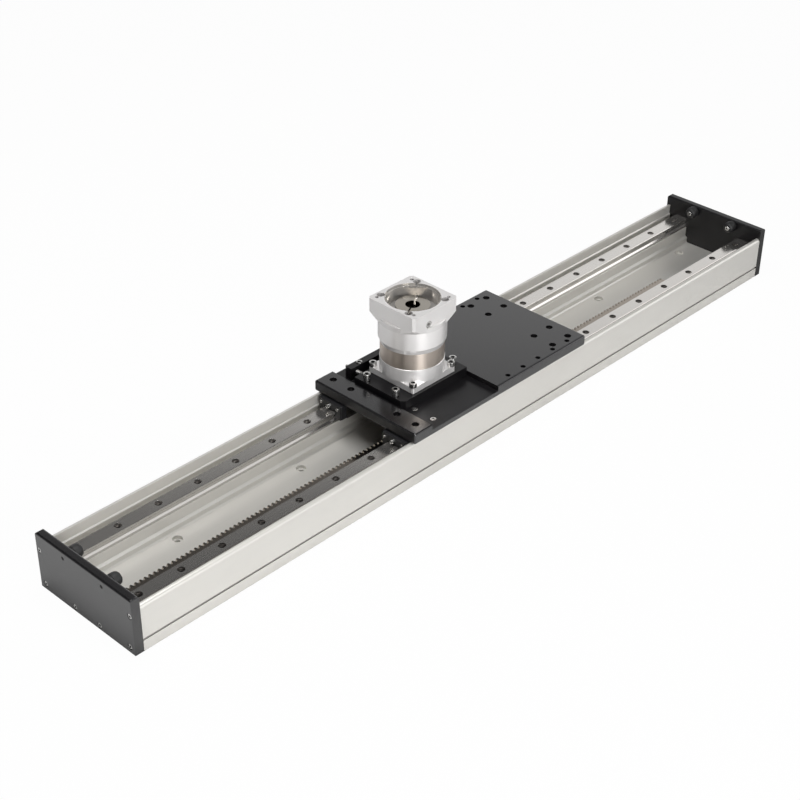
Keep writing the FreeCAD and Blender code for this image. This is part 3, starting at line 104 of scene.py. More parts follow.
# White studio paper: the camera sees it nearly glow, so that it is as white as the surround. Past the
# left end it also glows in what mirrors it, which gives the left end plate its grey.
paper_white = 0.97
glow_start, glow_full, mirrored_glow = -0.60, -0.66, 0.55
paper = bpy.data.materials.new("pale_studio_paper")
paper.use_nodes = True
sheet_tree = paper.node_tree
sheet_tree.nodes.clear()
rays = add(sheet_tree, "ShaderNodeLightPath")
matt = add(sheet_tree, "ShaderNodeBsdfDiffuse", {"Color": linear("#D6D6D6")})
glow = add(sheet_tree, "ShaderNodeEmission", {"Color": linear("#FFFFFF"), "Strength": 1.0})
spot = add(sheet_tree, "ShaderNodeTexCoord")
along = add(sheet_tree, "ShaderNodeSeparateXYZ", None, i0=spot.outputs["Object"])
past_end = add(sheet_tree, "ShaderNodeMapRange", {"From Min": glow_full, "From Max": glow_start,
                                                  "To Min": mirrored_glow, "To Max": 0.0},
               Value=along.outputs["X"])
in_metal = add(sheet_tree, "ShaderNodeMath", {"operation": "MULTIPLY"}, i0=rays.outputs["Is Glossy Ray"],
               i1=past_end.outputs[0])
to_camera = add(sheet_tree, "ShaderNodeMath", {"operation": "MULTIPLY"}, i0=rays.outputs["Is Camera Ray"])
to_camera.inputs[1].default_value = paper_white
seen = add(sheet_tree, "ShaderNodeMath", {"operation": "MAXIMUM"}, i0=in_metal.outputs[0],
           i1=to_camera.outputs[0])
mixed = add(sheet_tree, "ShaderNodeMixShader", None, i0=seen.outputs[0], i1=matt.outputs[0],
            i2=glow.outputs[0])
add(sheet_tree, "ShaderNodeOutputMaterial", None, Surface=mixed.outputs[0])

paper_half_width = 12
paper_drop = 0.0005
ground = bmesh.new()
bmesh.ops.create_grid(ground, x_segments=1, y_segments=1, size=paper_half_width)
bmesh.ops.translate(ground, verts=ground.verts, vec=(0, 0, -paper_drop))
floor_mesh = bpy.data.meshes.new("studio_floor")
ground.to_mesh(floor_mesh)
ground.free()
studio_floor = bpy.data.objects.new("studio_floor", floor_mesh)
studio_floor.data.materials.append(paper)
bpy.context.collection.objects.link(studio_floor)

# One large lamp lights the near side and one the top, and a weak one fills in from the right.
for name, place, aim, width, power in (
        ("front_softbox", (-0.85, -2.4, 0.85), (-0.2, 0, 0.05), 1.1, 49),
        ("overhead_softbox", (-0.4, 0.0, 2.0), (-0.3, 0, 0.05), 1.2, 37),
        ("right_softbox", (2.6, -1.4, 1.3), (0, 0, 0.05), 1.6, 8)):
    lamp = bpy.data.lights.new(name, "AREA")
    lamp.shape = "SQUARE"
    lamp.size = width
    lamp.energy = power
    holder = bpy.data.objects.new(name, lamp)
    holder.location = place
    holder.rotation_euler = (Vector(aim) - Vector(place)).to_track_quat("-Z", "Y").to_euler()
    bpy.context.collection.objects.link(holder)

bpy.context.scene.view_settings.view_transform = "Standard"

# The camera looks down on the module from its front left, through a long lens.
azimuth, elevation, roll = (math.radians(d) for d in (-46.36, 33.31, 0.50))
camera_place = Vector((-1.37929, -1.21991, 1.22028))
back = Vector((math.sin(azimuth) * math.cos(elevation), -math.cos(azimuth) * math.cos(elevation),
               math.sin(elevation)))
level = Vector((math.cos(azimuth), math.sin(azimuth), 0))
upward = back.cross(level)
right = level * math.cos(roll) + upward * math.sin(roll)
up = upward * math.cos(roll) - level * math.sin(roll)
camera = bpy.data.objects.new("camera", bpy.data.cameras.new("camera"))
camera.matrix_world = Matrix((
    (right.x, up.x, back.x, camera_place.x), (right.y, up.y, back.y, camera_place.y),
    (right.z, up.z, back.z, camera_place.z), (0, 0, 0, 1)))
camera.data.sensor_width = 36
camera.data.lens = 74.34
camera.data.clip_start = 0.05
bpy.context.collection.objects.link(camera)
bpy.context.scene.camera = camera


# Base profile: a wide open U of drawn aluminium alloy, clear anodised, with two hollow
# pedestals for the rails. Cut to length, and drilled along the floor to bolt it down.

def finish(name, colour, roughness, metallic=1.0, grain=(0, 0, 0), grain_depth=0.0, tint=0.0,
           blotch=0.0, ior=None, turned_marks=0.0):
    """A surface with a fine grain: grain gives the spacing of its lines in mm along each axis, and
    grain_depth their depth. Tint and blotch vary the colour line by line and patch by patch."""
    rough_spread = 0.18
    patches_per_metre = 9.0
    made = bpy.data.materials.new(name)
    made.use_nodes = True
    tree = made.node_tree
    surface = tree.nodes["Principled BSDF"]
    surface.inputs["Metallic"].default_value = metallic
    surface.inputs["Roughness"].default_value = roughness
    surface.inputs["Base Color"].default_value = linear(colour)
    if ior:
        surface.inputs["IOR"].default_value = ior
    if turned_marks:
        surface.inputs["Anisotropic"].default_value = turned_marks
        surface.inputs["Anisotropic Rotation"].default_value = 0.25
    made.diffuse_color = linear(colour)
    if not any(grain):
        return made
    where = add(tree, "ShaderNodeTexCoord")
    scaled = add(tree, "ShaderNodeMapping",
                 {"Scale": [1000 / g if g else 0.0 for g in grain]}, Vector=where.outputs["Object"])
    lines = add(tree, "ShaderNodeTexNoise", {"Scale": 1.0, "Detail": 3.0, "Roughness": 0.6},
                Vector=scaled.outputs[0])
    wear = add(tree, "ShaderNodeTexNoise", {"Scale": patches_per_metre, "Detail": 2.0},
               Vector=where.outputs["Object"])
    shade = add(tree, "ShaderNodeMapRange", {"To Min": 1.0 - tint, "To Max": 1.0 + tint},
                Value=lines.outputs[0])
    patch = add(tree, "ShaderNodeMapRange", {"To Min": 1.0 - blotch, "To Max": 1.0 + blotch},
                Value=wear.outputs[0])
    both = add(tree, "ShaderNodeMath", {"operation": "MULTIPLY"}, i0=shade.outputs[0], i1=patch.outputs[0])
    varied = add(tree, "ShaderNodeHueSaturation", {"Color": linear(colour)}, Value=both.outputs[0])
    tree.links.new(varied.outputs[0], surface.inputs["Base Color"])
    rough = add(tree, "ShaderNodeMapRange", {"To Min": roughness * (1 - rough_spread),
                                             "To Max": roughness * (1 + rough_spread)},
                Value=lines.outputs[0])
    tree.links.new(rough.outputs[0], surface.inputs["Roughness"])
    if grain_depth:
        bump = add(tree, "ShaderNodeBump", {"Strength": 0.35, "Distance": grain_depth / 1000},
                   Height=lines.outputs[0])
        tree.links.new(bump.outputs[0], surface.inputs["Normal"])
    return made


def keep(bm, name, body, material, replaces=(), smooth=32):
    """Turn a finished bmesh into a piece of the object that rides on a CAD body."""
    bmesh.ops.recalc_face_normals(bm, faces=bm.faces)
    mesh = bpy.data.meshes.new(name)
    bm.to_mesh(mesh)
    bm.free()
    for face in mesh.polygons:
        face.use_smooth = True
    mesh.set_sharp_from_angle(angle=math.radians(smooth))
    mesh.materials.append(material)
    piece = bpy.data.objects.new(name, mesh)
    bpy.context.collection.objects.link(piece)
    flat = piece.modifiers.new("flat_faces_stay_flat", "WEIGHTED_NORMAL")
    flat.keep_sharp = True
    flat.weight = 100
    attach(piece, body)
    if replaces:
        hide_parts(*replaces)
    return piece


merge_gap = 2e-6
flat_angle, sharp_angle = math.radians(1), math.radians(34)


def merged_copy(node):
    """The CAD piece's own mesh, with its loose triangles merged."""
    bm = bmesh.new()
    bm.from_mesh(frame["nodes"][node].data)
    bmesh.ops.remove_doubles(bm, verts=bm.verts, dist=merge_gap)
    return bm


def join_flat_faces(bm):
    """Make one face of the triangles that lie in one plane."""
    bmesh.ops.dissolve_limit(bm, angle_limit=flat_angle, verts=bm.verts, edges=bm.edges)
    return bm


def break_edges(bm, edge, segments=2):
    """Join flat faces, and break the sharp edges between them by so many millimetres."""
    join_flat_faces(bm)
    sharp = [e for e in bm.edges if len(e.link_faces) == 2 and e.calc_face_angle(0) > sharp_angle]
    bmesh.ops.bevel(bm, geom=sharp, offset=edge / 1000, offset_type="OFFSET", affect="EDGES",
                    segments=segments, profile=0.5, material=-1, clamp_overlap=True)
    return bm


# Drawn aluminium, clear anodised: pale and matt, with fine lines along its length. The real lines are
# too fine to show, so they are drawn nearly a millimetre apart.
drawn_aluminium = finish("clear_anodised_drawn_aluminium", "#D6D4CF", 0.40, metallic=0.6,
                         grain=(160, 0.9, 0.9), grain_depth=0.02, tint=0.04, blotch=0.03)
base = keep(break_edges(merged_copy("base_profile"), 0.3), "base_profile_drawn", "base",
            drawn_aluminium, ["base_profile"])
# Painted shade: inside the grooves along the outer walls the metal is coloured darker and duller, so each
# groove reads as a dark line.
groove_painted_shade = finish("groove_aluminium_painted_shade", "#9C9A96", 0.55, metallic=0.3)
groove_low, groove_high = 0.0142, 0.0178
groove_bottom, groove_mouth = 0.0832, 0.0853
base.data.materials.append(groove_painted_shade)
# The faces inside each groove take the painted shade.
for face in base.data.polygons:
    if groove_low < face.center.z < groove_high and groove_bottom < abs(face.center.y) < groove_mouth:
        face.material_index = 1


# Profile rails: bars of hardened steel, ground on top and along the ball grooves. They stand on the
# pedestals and are held from above by the row of screws of the next section.

# Ground steel: a smooth grey mirror of the room, with faint lines along the grinding.
ground_steel = finish("ground_rail_steel", "#CFCCC8", 0.15, metallic=0.92, grain=(120, 0.7, 0.7),
                      grain_depth=0.01, tint=0.05, blotch=0.03)
for row in ("near", "far"):
    keep(break_edges(merged_copy(row + "_rail"), 0.35), row + "_rail_ground", "base",
         ground_steel, [row + "_rail"])


# Rail screws: socket head cap screws of black steel, twenty in each rail, sunk in its counterbores.
# The other screws of the module are made by the same function.

def facing(direction):
    """The turn that points a part's own Z along a direction."""
    return Vector(direction).to_track_quat("Z", "Y").to_matrix().to_4x4()


def joined(bm, part, matrix):
    """Put a finished part into a bmesh at a place, and free it."""
    bmesh.ops.transform(part, verts=part.verts, matrix=matrix)
    bmesh.ops.recalc_face_normals(part, faces=part.faces)
    holding = bpy.data.meshes.new("part")
    part.to_mesh(holding)
    part.free()
    bm.from_mesh(holding)
    bpy.data.meshes.remove(holding)


def drawn_out(bm, edges, rise):
    """Extrude a ring of edges along Z, and give the new ring."""
    grown = bmesh.ops.extrude_edge_only(bm, edges=edges)["geom"]
    new_verts = [g for g in grown if isinstance(g, bmesh.types.BMVert)]
    bmesh.ops.translate(bm, verts=new_verts, vec=(0, 0, rise))
    return [g for g in grown if isinstance(g, bmesh.types.BMEdge) and set(g.verts) <= set(new_verts)]


def socket_head(bm, at, head, height, socket, depth, away=(0, 0, 1), turn=0.0, shank=0.0, length=0.0):
    """Add one cap screw that stands on its seat at a point: sizes in mm, and the way its head faces."""
    part = bmesh.new()
    rim = bmesh.ops.create_circle(part, segments=28, radius=head / 2)["verts"]
    rim_edges = list({e for v in rim for e in v.link_edges})
    top_edges = drawn_out(part, rim_edges, height)
    hexagon = bmesh.ops.create_circle(part, segments=6, radius=socket / math.sqrt(3))["verts"]
    bmesh.ops.translate(part, verts=hexagon, vec=(0, 0, height))
    hex_edges = list({e for v in hexagon for e in v.link_edges})
    bmesh.ops.bridge_loops(part, edges=top_edges + hex_edges)
    bmesh.ops.contextual_create(part, geom=drawn_out(part, hex_edges, -depth))
    bmesh.ops.contextual_create(part, geom=rim_edges)
    bmesh.ops.recalc_face_normals(part, faces=part.faces)
    near_brim, brim_round = head * 0.45, head * 0.06
    brim = [e for e in part.edges if len(e.link_faces) == 2 and e.calc_face_angle(0) > sharp_angle
            and all(abs(v.co.z - height) < 1e-6 and v.co.xy.length > near_brim for v in e.verts)]
    bmesh.ops.bevel(part, geom=brim, offset=brim_round, offset_type="OFFSET", affect="EDGES",
                    segments=2, profile=0.5, material=-1)
    if shank:
        bmesh.ops.create_cone(part, cap_ends=True, segments=20, radius1=shank / 2, radius2=shank / 2,
                              depth=length, matrix=Matrix.Translation((0, 0, -length / 2)))
    joined(bm, part, Matrix.Scale(0.001, 4) @ Matrix.Translation(Vector(at)) @ facing(away)
           @ Matrix.Rotation(turn, 4, "Z"))


# Zinc plating gives small sharp highlights. Black oxide that is worn looks a dull brownish grey.
bright_zinc = finish("bright_zinc_plated_steel", "#C9C8C6", 0.20)
black_oxide = finish("black_oxide_steel", "#6B6866", 0.30)

rail_y = 56.7
rail_screw_count, rail_hole_pitch, first_rail_hole, rail_seat = 20, 60, -570, 43
# A cap screw in mm: the width and height of its head, the width and depth of its socket, and its shank.
m5_head = {"head": 8.5, "height": 5, "socket": 4, "depth": 2.6, "shank": 5}
for row, side in (("near", -1), ("far", 1)):
    screws = bmesh.new()
    for i in range(rail_screw_count):
        socket_head(screws, (first_rail_hole + rail_hole_pitch * i, side * rail_y, rail_seat), **m5_head,
                    turn=0.37 * i, length=7)
    keep(screws, row + "_rail_cap_screws", "base", black_oxide, [row + "_rail_screws"])


# End plates: 12 mm plates of black anodised aluminium, their edges broken by hand. Each is
# bolted on an end of the profile with six bright cap screws.

# Black anodising is a dyed oxide: nearly black by itself, it takes its grey from what it mirrors.
black_anodised = finish("black_anodised_aluminium", "#111012", 0.21, metallic=0.0, ior=1.84,
                        grain=(1.4, 1.4, 1.4), grain_depth=0.004, tint=0.10, blotch=0.10)
# Painted shade: a darker, duller copy of the same dye, for the right end plate and for faces that lie in
# shade by the gearbox.
painted_shade_black = finish("darker_black_anodised_for_painted_shade", "#0E0D0F", 0.34, metallic=0.0, ior=1.42,
                      grain=(1.2, 1.2, 1.2), grain_depth=0.008, tint=0.12, blotch=0.15)
plate_seat = 597.6
plate_holes = [(s * y, z) for y, z in ((81.4, 53.7), (76.5, 8.0), (22.4, 5.6)) for s in (1, -1)]
m4_head = {"head": 6.6, "height": 4, "socket": 3, "depth": 2.2, "shank": 4}
# The right end plate takes the darker copy, as painted shade.
for end, side, black in (("left", -1, black_anodised), ("right", 1, painted_shade_black)):
    keep(break_edges(merged_copy(end + "_end_plate"), 0.45), end + "_end_plate_bevelled", "base",
         black, [end + "_end_plate"])
    screws = bmesh.new()
    for i, (y, z) in enumerate(plate_holes):
        socket_head(screws, (side * plate_seat, y, z), **m4_head, away=(side, 0, 0), turn=0.5 * i, length=7)
    keep(screws, end + "_end_cap_screws", "base", bright_zinc, [end + "_end_screws"])


# Bumpers: moulded rubber buffers with a rounded nose and a steel insert, on black studs that go
# through the end plates.

def turned(profile, segments=64):
    """A solid of revolution about Z, from (radius, height) points in mm that start and end on the axis."""
    bm = bmesh.new()
    verts = [bm.verts.new((r / 1000, 0, z / 1000)) for r, z in profile]
    edges = [bm.edges.new(pair) for pair in zip(verts, verts[1:])]
    bmesh.ops.spin(bm, geom=verts + edges, cent=(0, 0, 0), axis=(0, 0, 1), angle=math.tau,
                   steps=segments, use_merge=True)
    bmesh.ops.remove_doubles(bm, verts=bm.verts, dist=1e-7)
    return bm


# Moulded rubber: near black and dull, with a faint grain from the mould.
rubber = finish("moulded_buffer_rubber", "#121213", 0.55, metallic=0.0, grain=(0.8, 0.8, 0.8),
                grain_depth=0.02, tint=0.06)
# Blackened steel: a dark, half dull grey.
stud_steel = finish("blackened_stud_steel", "#242322", 0.40, metallic=0.6)
bumper_foot, bumper_y, bumper_z = 590, 34.7, 68
stud_seat = 601.5
stud_end = {"head": 4.9, "height": 0.3, "socket": 2.4, "depth": 0.25, "shank": 4.9}
nose = [(0, 13), (3.6, 13), (5.9, 12.5), (7.4, 11.2), (8.2, 9.2), (8.5, 6.6), (8.5, 1.5), (8.0, 1.1),
        (8.0, 0.0), (0, 0)]
insert_ring = [(0, 12.2), (1.5, 12.2), (1.5, 13.3), (3.2, 13.3), (3.4, 13.1), (3.4, 12), (0, 12)]
for end, side in (("left", -1), ("right", 1)):
    buffers = bmesh.new()
    studs = bmesh.new()
    inserts = bmesh.new()
    for y in (bumper_y, -bumper_y):
        stand = (Matrix.Translation((side * bumper_foot / 1000, y / 1000, bumper_z / 1000))
                 @ facing((-side, 0, 0)))
        joined(buffers, turned(nose, 48), stand)
        joined(inserts, turned(insert_ring, 24), stand)
        socket_head(studs, (side * stud_seat, y, bumper_z), **stud_end, away=(side, 0, 0), length=20)
    keep(buffers, end + "_rubber_bumpers", "base", rubber, [end + "_bumpers"], smooth=40)
    keep(studs, end + "_bumper_grub_studs", "base", stud_steel, [end + "_bumper_studs"])
    keep(inserts, end + "_bumper_inserts", "base", bright_zinc)


# Rack: a square bar of hardened steel with slanted teeth, ground and oiled, held to the
# floor against the near pedestal by cap screws from above.

# Oiled steel: a brownish grey that mirrors the dim ceiling at its near end.
rack_metal = finish("oiled_rack_steel", "#9C948B", 0.18, grain=(60, 3, 3), grain_depth=0.01, tint=0.08,
                    blotch=0.08)
keep(join_flat_faces(merged_copy("gear_rack")), "gear_rack_milled", "base", rack_metal,
     ["gear_rack"], smooth=25)
rack_screw_count, rack_hole_pitch, first_rack_hole, rack_y, rack_seat = 8, 125, -507.5, -37.8, 28.5
m6_head = {"head": 10, "height": 6, "socket": 5, "shank": 6}
screws = bmesh.new()
for i in range(rack_screw_count):
    socket_head(screws, (first_rack_hole + rack_hole_pitch * i, rack_y, rack_seat), **m6_head, depth=3,
                turn=0.6 * i, length=16)
keep(screws, "rack_cap_screws", "base", black_oxide, ["rack_screws"])


# Carriage blocks: ground steel saddles with moulded end caps and wiper seals. Two small cap
# screws hold each end cap, and a plated grease nipple sits at the outer end.

# Ground block steel is duller than the rails. Moulded acetal is a soft, slightly glossy black.
block_steel = finish("ground_block_steel", "#8E8C8A", 0.28, grain=(40, 0.8, 0.8), grain_depth=0.01, tint=0.05)
plastic = finish("moulded_black_acetal", "#1B1B1D", 0.38, metallic=0.0, grain=(0.7, 0.7, 0.7),
                 grain_depth=0.01, tint=0.05)
block_x, block_half_length = 132, 38.5
cap_screw_y, cap_screw_z = 14.5, 57.5
cap_fixing = {"head": 4.2, "height": 1.4, "socket": 2, "depth": 0.8, "shank": 2.5}
nipple = [(0, 6.6), (0.9, 6.5), (1.5, 5.9), (1.6, 5.2), (1.2, 4.3), (1.3, 3.6), (2.4, 2.9), (2.6, 2.2),
          (2.6, 0.5), (2.9, 0.0), (2.9, -1.0), (0, -1.0)]
for row, side in (("near", -1), ("far", 1)):
    for end, outward in (("left", -1), ("right", 1)):
        name = row + "_" + end
        x = outward * block_x
        keep(break_edges(merged_copy(name + "_block"), 0.5), name + "_block_ground", "carriage",
             block_steel, [name + "_block"])
        keep(break_edges(merged_copy(name + "_end_caps"), 0.8, segments=3), name + "_end_caps_moulded",
             "carriage", plastic, [name + "_end_caps"])
        keep(break_edges(merged_copy(name + "_seals"), 0.25), name + "_wiper_seals", "carriage",
             rubber, [name + "_seals"])
        fixings = bmesh.new()
        for face in (-1, 1):
            for across in (-cap_screw_y, cap_screw_y):
                socket_head(fixings, (x + face * block_half_length, side * rail_y + across, cap_screw_z),
                            **cap_fixing, away=(face, 0, 0), turn=across + x, length=10)
        keep(fixings, name + "_cap_fixings", "carriage", bright_zinc)
        nipples = bmesh.new()
        joined(nipples, turned(nipple, 24),
               Matrix.Translation(((x + outward * block_half_length) / 1000, side * rail_y / 1000,
                                   cap_screw_z / 1000)) @ facing((outward, 0, 0)))
        keep(nipples, name + "_grease_nipple", "carriage", bright_zinc)


# Carriage plate: black anodised aluminium, milled, with a lowered band for the gearbox. Four cap
# screws hold it to each block, and those in the band have low heads that stand proud.

plate = keep(break_edges(merged_copy("carriage_plate"), 0.6), "carriage_plate_milled", "carriage",
             black_anodised, ["carriage_plate"])
# Painted shade: the plate's left end faces and the floor of the lowered band take the darker copy.
plate.data.materials.append(painted_shade_black)
plate_top = max(v.co.z for v in plate.data.vertices)
band_drop = 0.002
for face in plate.data.polygons:
    if face.normal.x < -0.9 or (face.normal.z > 0.9 and face.center.z < plate_top - band_drop):
        face.material_index = 1
band_x, block_seat = -116, 69.5
low_head = {"head": 8.5, "height": 2.3, "socket": 3, "depth": 1.4, "shank": 5}
sunk = bmesh.new()
proud = bmesh.new()
for i, y in enumerate((-72.7, -40.7, 40.7, 72.7)):
    for k, x in enumerate((-148, band_x, 116, 148)):
        if x == band_x:
            socket_head(proud, (x, y, block_seat), **low_head, turn=0.8 * i, length=13)
        else:
            socket_head(sunk, (x, y, block_seat), **m5_head, turn=0.8 * i + k, length=13)
keep(sunk, "block_cap_screws", "carriage", black_oxide, ["block_screws"])
keep(proud, "recess_low_head_screws", "carriage", bright_zinc, ["recess_screws"])


# Adapter plate and adjusting bar: black anodised, with bright screws. The plate's slots let
# the gearbox move across until pinion and rack mesh.

# Painted shade: the adapter plate and the adjusting bar take the darker copy, where the gearbox shades them.
for node in ("adapter_plate", "adjusting_bar"):
    keep(break_edges(merged_copy(node), 0.5), node + "_milled", "carriage", painted_shade_black,
         [node])
keep(break_edges(merged_copy("adapter_clamp_collars"), 0.3), "adapter_clamp_collars_turned", "carriage",
     bright_zinc, ["adapter_clamp_collars"])
gear_x, gear_y = -70.0, 8.031
clamp_x, clamp_y, clamp_seat = -72.35, gear_y + 1, 89.2
clamp_spread_x, clamp_spread_y = 53.15, 25.5
screws = bmesh.new()
for i, (sx, sy) in enumerate(((1, 1), (-1, 1), (1, -1), (-1, -1))):
    socket_head(screws, (clamp_x + sx * clamp_spread_x, clamp_y + sy * clamp_spread_y, clamp_seat),
                **m6_head, depth=3.2, turn=0.9 * i, length=4)
keep(screws, "adapter_cap_screws", "carriage", bright_zinc, ["adapter_clamp_screws"])
flange_screw_radius, flange_top = 50, 94
screws = bmesh.new()
for i in range(4):
    a = math.radians(45 + 90 * i)
    socket_head(screws, (gear_x + flange_screw_radius * math.cos(a),
                         gear_y + flange_screw_radius * math.sin(a), flange_top), **m6_head, depth=3.2,
                turn=0.4 * i, length=9)
keep(screws, "flange_cap_screws", "carriage", bright_zinc, ["flange_screws"])
bar_y, bar_screw_x, bar_seat = gear_y + 60.25, 35.5, 84.5
screws = bmesh.new()
for s in (1, -1):
    socket_head(screws, (gear_x + s * bar_screw_x, bar_y, bar_seat), **m5_head, turn=0.3 * s, length=12)
keep(screws, "adjusting_bar_cap_screws", "carriage", bright_zinc, ["adjusting_bar_screws"])

# Each adjusting screw is a threaded rod with a lock nut against the bar's far side.
adjuster_x, adjuster_z = 45, 81
nut_y, rod_y = bar_y + 7.25, bar_y + 5.25
nut_radius, nut_height, nut_edge = 0.004 * 2 / math.sqrt(3), 0.004, 0.0003
root, crest, thread_pitch, thread_turns = 2.1, 2.45, 0.9, 33
first_crest, first_root = -21.9, -21.45
rod = [(0, -22.5), (1.9, -22.5), (root, -22.1)]
for k in range(thread_turns):
    rod += [(crest, first_crest + k * thread_pitch), (root, first_root + k * thread_pitch)]
rod += [(1.7, 8.95), (0, 8.95)]
adjusters = bmesh.new()
for s in (1, -1):
    nut = bmesh.new()
    bmesh.ops.create_cone(nut, cap_ends=True, segments=6, radius1=nut_radius, radius2=nut_radius,
                          depth=nut_height)
    bmesh.ops.bevel(nut, geom=nut.edges[:], offset=nut_edge, offset_type="OFFSET", affect="EDGES",
                    segments=2, profile=0.5, material=-1)
    for part, y in ((nut, nut_y), (turned(rod, 20), rod_y)):
        joined(adjusters, part, Matrix.Translation(Vector((gear_x + adjuster_x * s, y, adjuster_z)) / 1000)
               @ facing((0, 1, 0)))
keep(adjusters, "adjusting_screws_threaded", "carriage", bright_zinc, ["adjusting_screws"])


# Gearbox: an output housing with a square flange, a steel ring gear seen as a dark band, an
# input housing above it, and a square motor flange, all turned or milled on one upright axis.

# Machined aluminium, bead blasted and clear anodised: pale, soft and even, with hardly any grain.
pale_metal = finish("bead_blasted_gearbox_aluminium", "#E1DFDE", 0.34, metallic=0.62, grain=(1.1, 1.1, 1.1),
                    grain_depth=0.006, tint=0.02, blotch=0.02)
# Turned aluminium: the marks run round the axis, so that a highlight spreads up and down.
turned_metal = finish("turned_gearbox_aluminium", "#ECEAE9", 0.33, metallic=0.64, grain=(0, 0, 0.7),
                      grain_depth=0.008, tint=0.03, turned_marks=0.7)
# Turned and nitrided steel: brownish grey, with a tall soft streak towards the light.
ring_metal = finish("turned_ring_gear_steel", "#C6BBB1", 0.35, grain=(0, 0, 0.8), grain_depth=0.02,
                    tint=0.14, turned_marks=0.85)

# The output housing keeps its bores from the CAD mesh. Outside, its flange is a flat square with rounded
# corners that the round hub stands on: the old outside goes, two rings grow down from the hub's upper
# edge and one up from the flange's sole, and they meet in the flat top round the screw holes.
housing = merged_copy("output_housing")
axis = Vector((gear_x, gear_y)) / 1000
flange_low, flange_high, hub_radius = 0.085, flange_top / 1000, 0.042
foot_rounding, hub_rounding, screw_hole_rim = 0.0007, 0.0006, 0.0034
sole_top, hub_wall, same_height = flange_low + 0.001, hub_radius - 0.0015, 1e-5
hub_high = max(v.co.z for v in housing.verts)
screw_axes = [axis + Vector((sx, sy)) * (flange_screw_radius / 1000) / math.sqrt(2)
              for sx in (1, -1) for sy in (1, -1)]
outside = [f for f in housing.faces
           if flange_low + foot_rounding < f.calc_center_median().z < hub_high - same_height
           and all((v.co.xy - axis).length > hub_wall for v in f.verts)
           and not all(min((v.co.xy - s).length for s in screw_axes) < screw_hole_rim for v in f.verts)]
bmesh.ops.delete(housing, geom=outside, context="FACES")
open_edges = [e for e in housing.edges if e.is_boundary]
sole = [e for e in open_edges if all(v.co.z < sole_top for v in e.verts)]
screw_rims = [e for e in open_edges if all(abs(v.co.z - flange_high) < same_height for v in e.verts)]
hub_edge = [e for e in open_edges if all(abs(v.co.z - hub_high) < same_height for v in e.verts)]
ends = []
for edges, radius, z in ((hub_edge, hub_radius, hub_high - hub_rounding), (None, hub_radius, flange_high),
                         (sole, None, flange_high)):
    grown = bmesh.ops.extrude_edge_only(housing, edges=edges or ends[-1])["geom"]
    new_verts = {g for g in grown if isinstance(g, bmesh.types.BMVert)}
    for v in new_verts:
        v.co.z = z
        if radius:
            v.co.xy = axis + (v.co.xy - axis).normalized() * radius
    ends.append([g for g in grown if isinstance(g, bmesh.types.BMEdge) and set(g.verts) <= new_verts])
bmesh.ops.triangle_fill(housing, use_beauty=True, use_dissolve=False, edges=ends[1] + ends[2] + screw_rims,
                        normal=(0, 0, 1))
keep(break_edges(housing, 0.2), "output_housing_machined", "carriage", turned_metal,
     ["output_housing"])
keep(break_edges(merged_copy("input_housing"), 0.3), "input_housing_turned", "carriage",
     turned_metal, ["input_housing"])


def bored(blasted, radius, colour, roughness):
    """A copy of a finish whose metal is bored bright inside a radius in mm round the gearbox's axis."""
    made = blasted.copy()
    made.name = "motor_flange_bored_aluminium"
    tree = made.node_tree
    surface = tree.nodes["Principled BSDF"]
    where = add(tree, "ShaderNodeTexCoord")
    centred = add(tree, "ShaderNodeMapping", {"Location": (-gear_x / 1000, -gear_y / 1000, 0.0),
                                              "Scale": (1.0, 1.0, 0.0)}, Vector=where.outputs["Object"])
    away = add(tree, "ShaderNodeVectorMath", {"operation": "LENGTH"}, i0=centred.outputs[0])
    inside = add(tree, "ShaderNodeMath", {"operation": "LESS_THAN"}, i0=away.outputs["Value"])
    inside.inputs[1].default_value = radius / 1000
    for socket, kind, bright_value in (("Base Color", "RGBA", linear(colour)),
                                       ("Roughness", "FLOAT", roughness)):
        before = surface.inputs[socket].links[0].from_socket
        mix = add(tree, "ShaderNodeMix", {"data_type": kind})
        sockets = [i for i in mix.inputs if i.enabled]
        tree.links.new(inside.outputs[0], sockets[0])
        tree.links.new(before, sockets[1])
        sockets[2].default_value = bright_value
        tree.links.new([o for o in mix.outputs if o.enabled][0], surface.inputs[socket])
    return made


# Inside its square top the motor flange is bored, so the wall of the opening shines.
bore_radius = 36.2
motor_metal = bored(pale_metal, bore_radius, "#C8C5C1", 0.10)
keep(break_edges(merged_copy("motor_flange"), 0.45), "motor_flange_machined", "carriage",
     motor_metal, ["motor_flange"])
keep(break_edges(merged_copy("ring_gear"), 0.25), "ring_gear_turned", "carriage", ring_metal,
     ["ring_gear"])
motor_screw_radius, motor_screw_angle, motor_screw_seat = 40.5, 36.3, 181
screws = bmesh.new()
for i in range(4):
    a = math.radians(motor_screw_angle + 90 * i)
    socket_head(screws, (gear_x + motor_screw_radius * math.cos(a),
                         gear_y + motor_screw_radius * math.sin(a), motor_screw_seat), **m5_head,
                turn=0.7 * i, length=20)
keep(screws, "motor_flange_cap_screws", "carriage", bright_zinc, ["motor_flange_screws"])

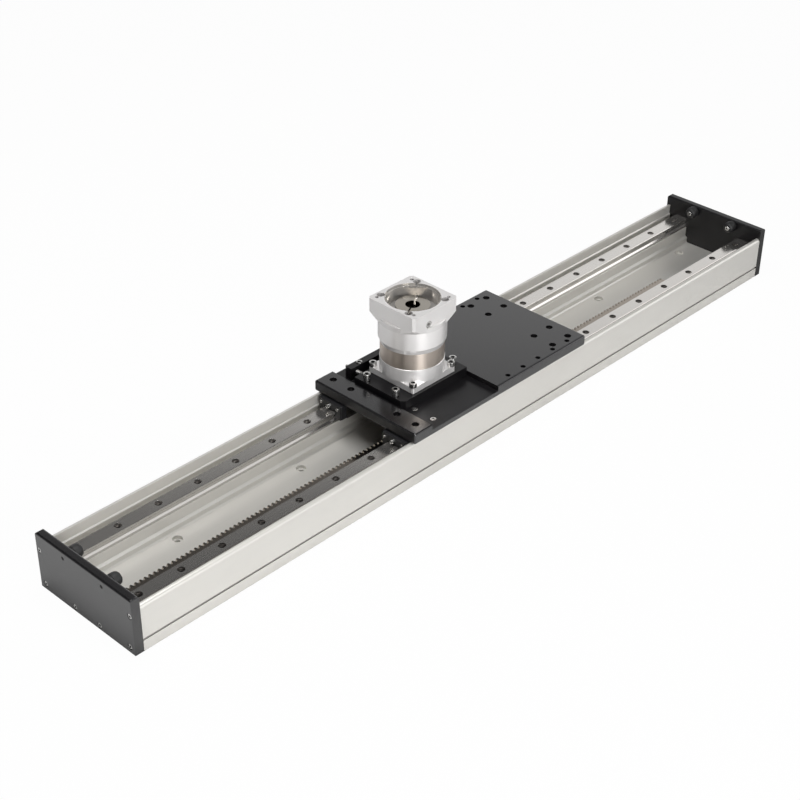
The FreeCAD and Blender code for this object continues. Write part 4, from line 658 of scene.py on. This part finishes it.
# A screwed plug with a hexagon socket closes the hole through which the hub's screw is reached.
plug_head = {"head": 9.8, "height": 4.4, "socket": 4, "depth": 2.4}
plug_seat = (gear_x - 13, gear_y - 35, 177)
plug = bmesh.new()
socket_head(plug, plug_seat, **plug_head, away=(0, -1, 0), turn=0.2)
keep(plug, "access_socket_plug", "carriage", bright_zinc, ["access_plug"])


# Input shaft: sun gear and split clamp hub turned from one bar of steel. A black cap screw
# across the slit clamps the motor's shaft.

# Finely turned steel: a grey mirror that the marks round the axis draw out up and down.
hub_metal = finish("fine_turned_hub_steel", "#98938B", 0.13, grain=(0, 0, 0.5), grain_depth=0.004, tint=0.04,
                   turned_marks=0.4)
keep(break_edges(merged_copy("input_shaft"), 0.4), "input_shaft_turned", "input", hub_metal,
     ["input_shaft"])
slit = math.radians(207)
clamp_radius, clamp_height, seat_from_slit = 13.2, 176.5, 10
across_slit = Vector((-math.sin(slit), math.cos(slit), 0))
seat = Vector((gear_x + clamp_radius * math.cos(slit), gear_y + clamp_radius * math.sin(slit),
               clamp_height)) + seat_from_slit * across_slit
hub_screw = bmesh.new()
socket_head(hub_screw, seat, **m5_head, away=across_slit, length=19)
keep(hub_screw, "hub_clamp_cap_screw", "input", black_oxide, ["hub_clamp_screw"])


# Inside pieces: pinion, planet gears, output shaft, carrier cover, pins, bearings and key of hard
# steel, a plated screw and washer, and a rubber seal. They are pressed or screwed in place, stay as
# the CAD made them, and each takes the look of its slot.

# Ground and polished steel: a warm, bright grey.
shaft_metal = finish("ground_shaft_steel", "#B8B2A8", 0.20)
looks = {
    "natural_aluminium": drawn_aluminium, "black_anodised": black_anodised, "rail_steel": ground_steel,
    "block_steel": block_steel, "rack_steel": rack_metal, "shaft_steel": shaft_metal,
    "bearing_steel": shaft_metal, "ring_steel": ring_metal, "gearbox_aluminium": pale_metal,
    "zinc_screws": bright_zinc, "dark_screws": black_oxide, "rubber": rubber, "black_plastic": plastic,
}
slots = {s["node"]: s["material_slot"] for s in frame["record"]["subparts"]}
for node, piece in frame["nodes"].items():
    piece.data.materials.clear()
    piece.data.materials.append(looks[slots[node]])
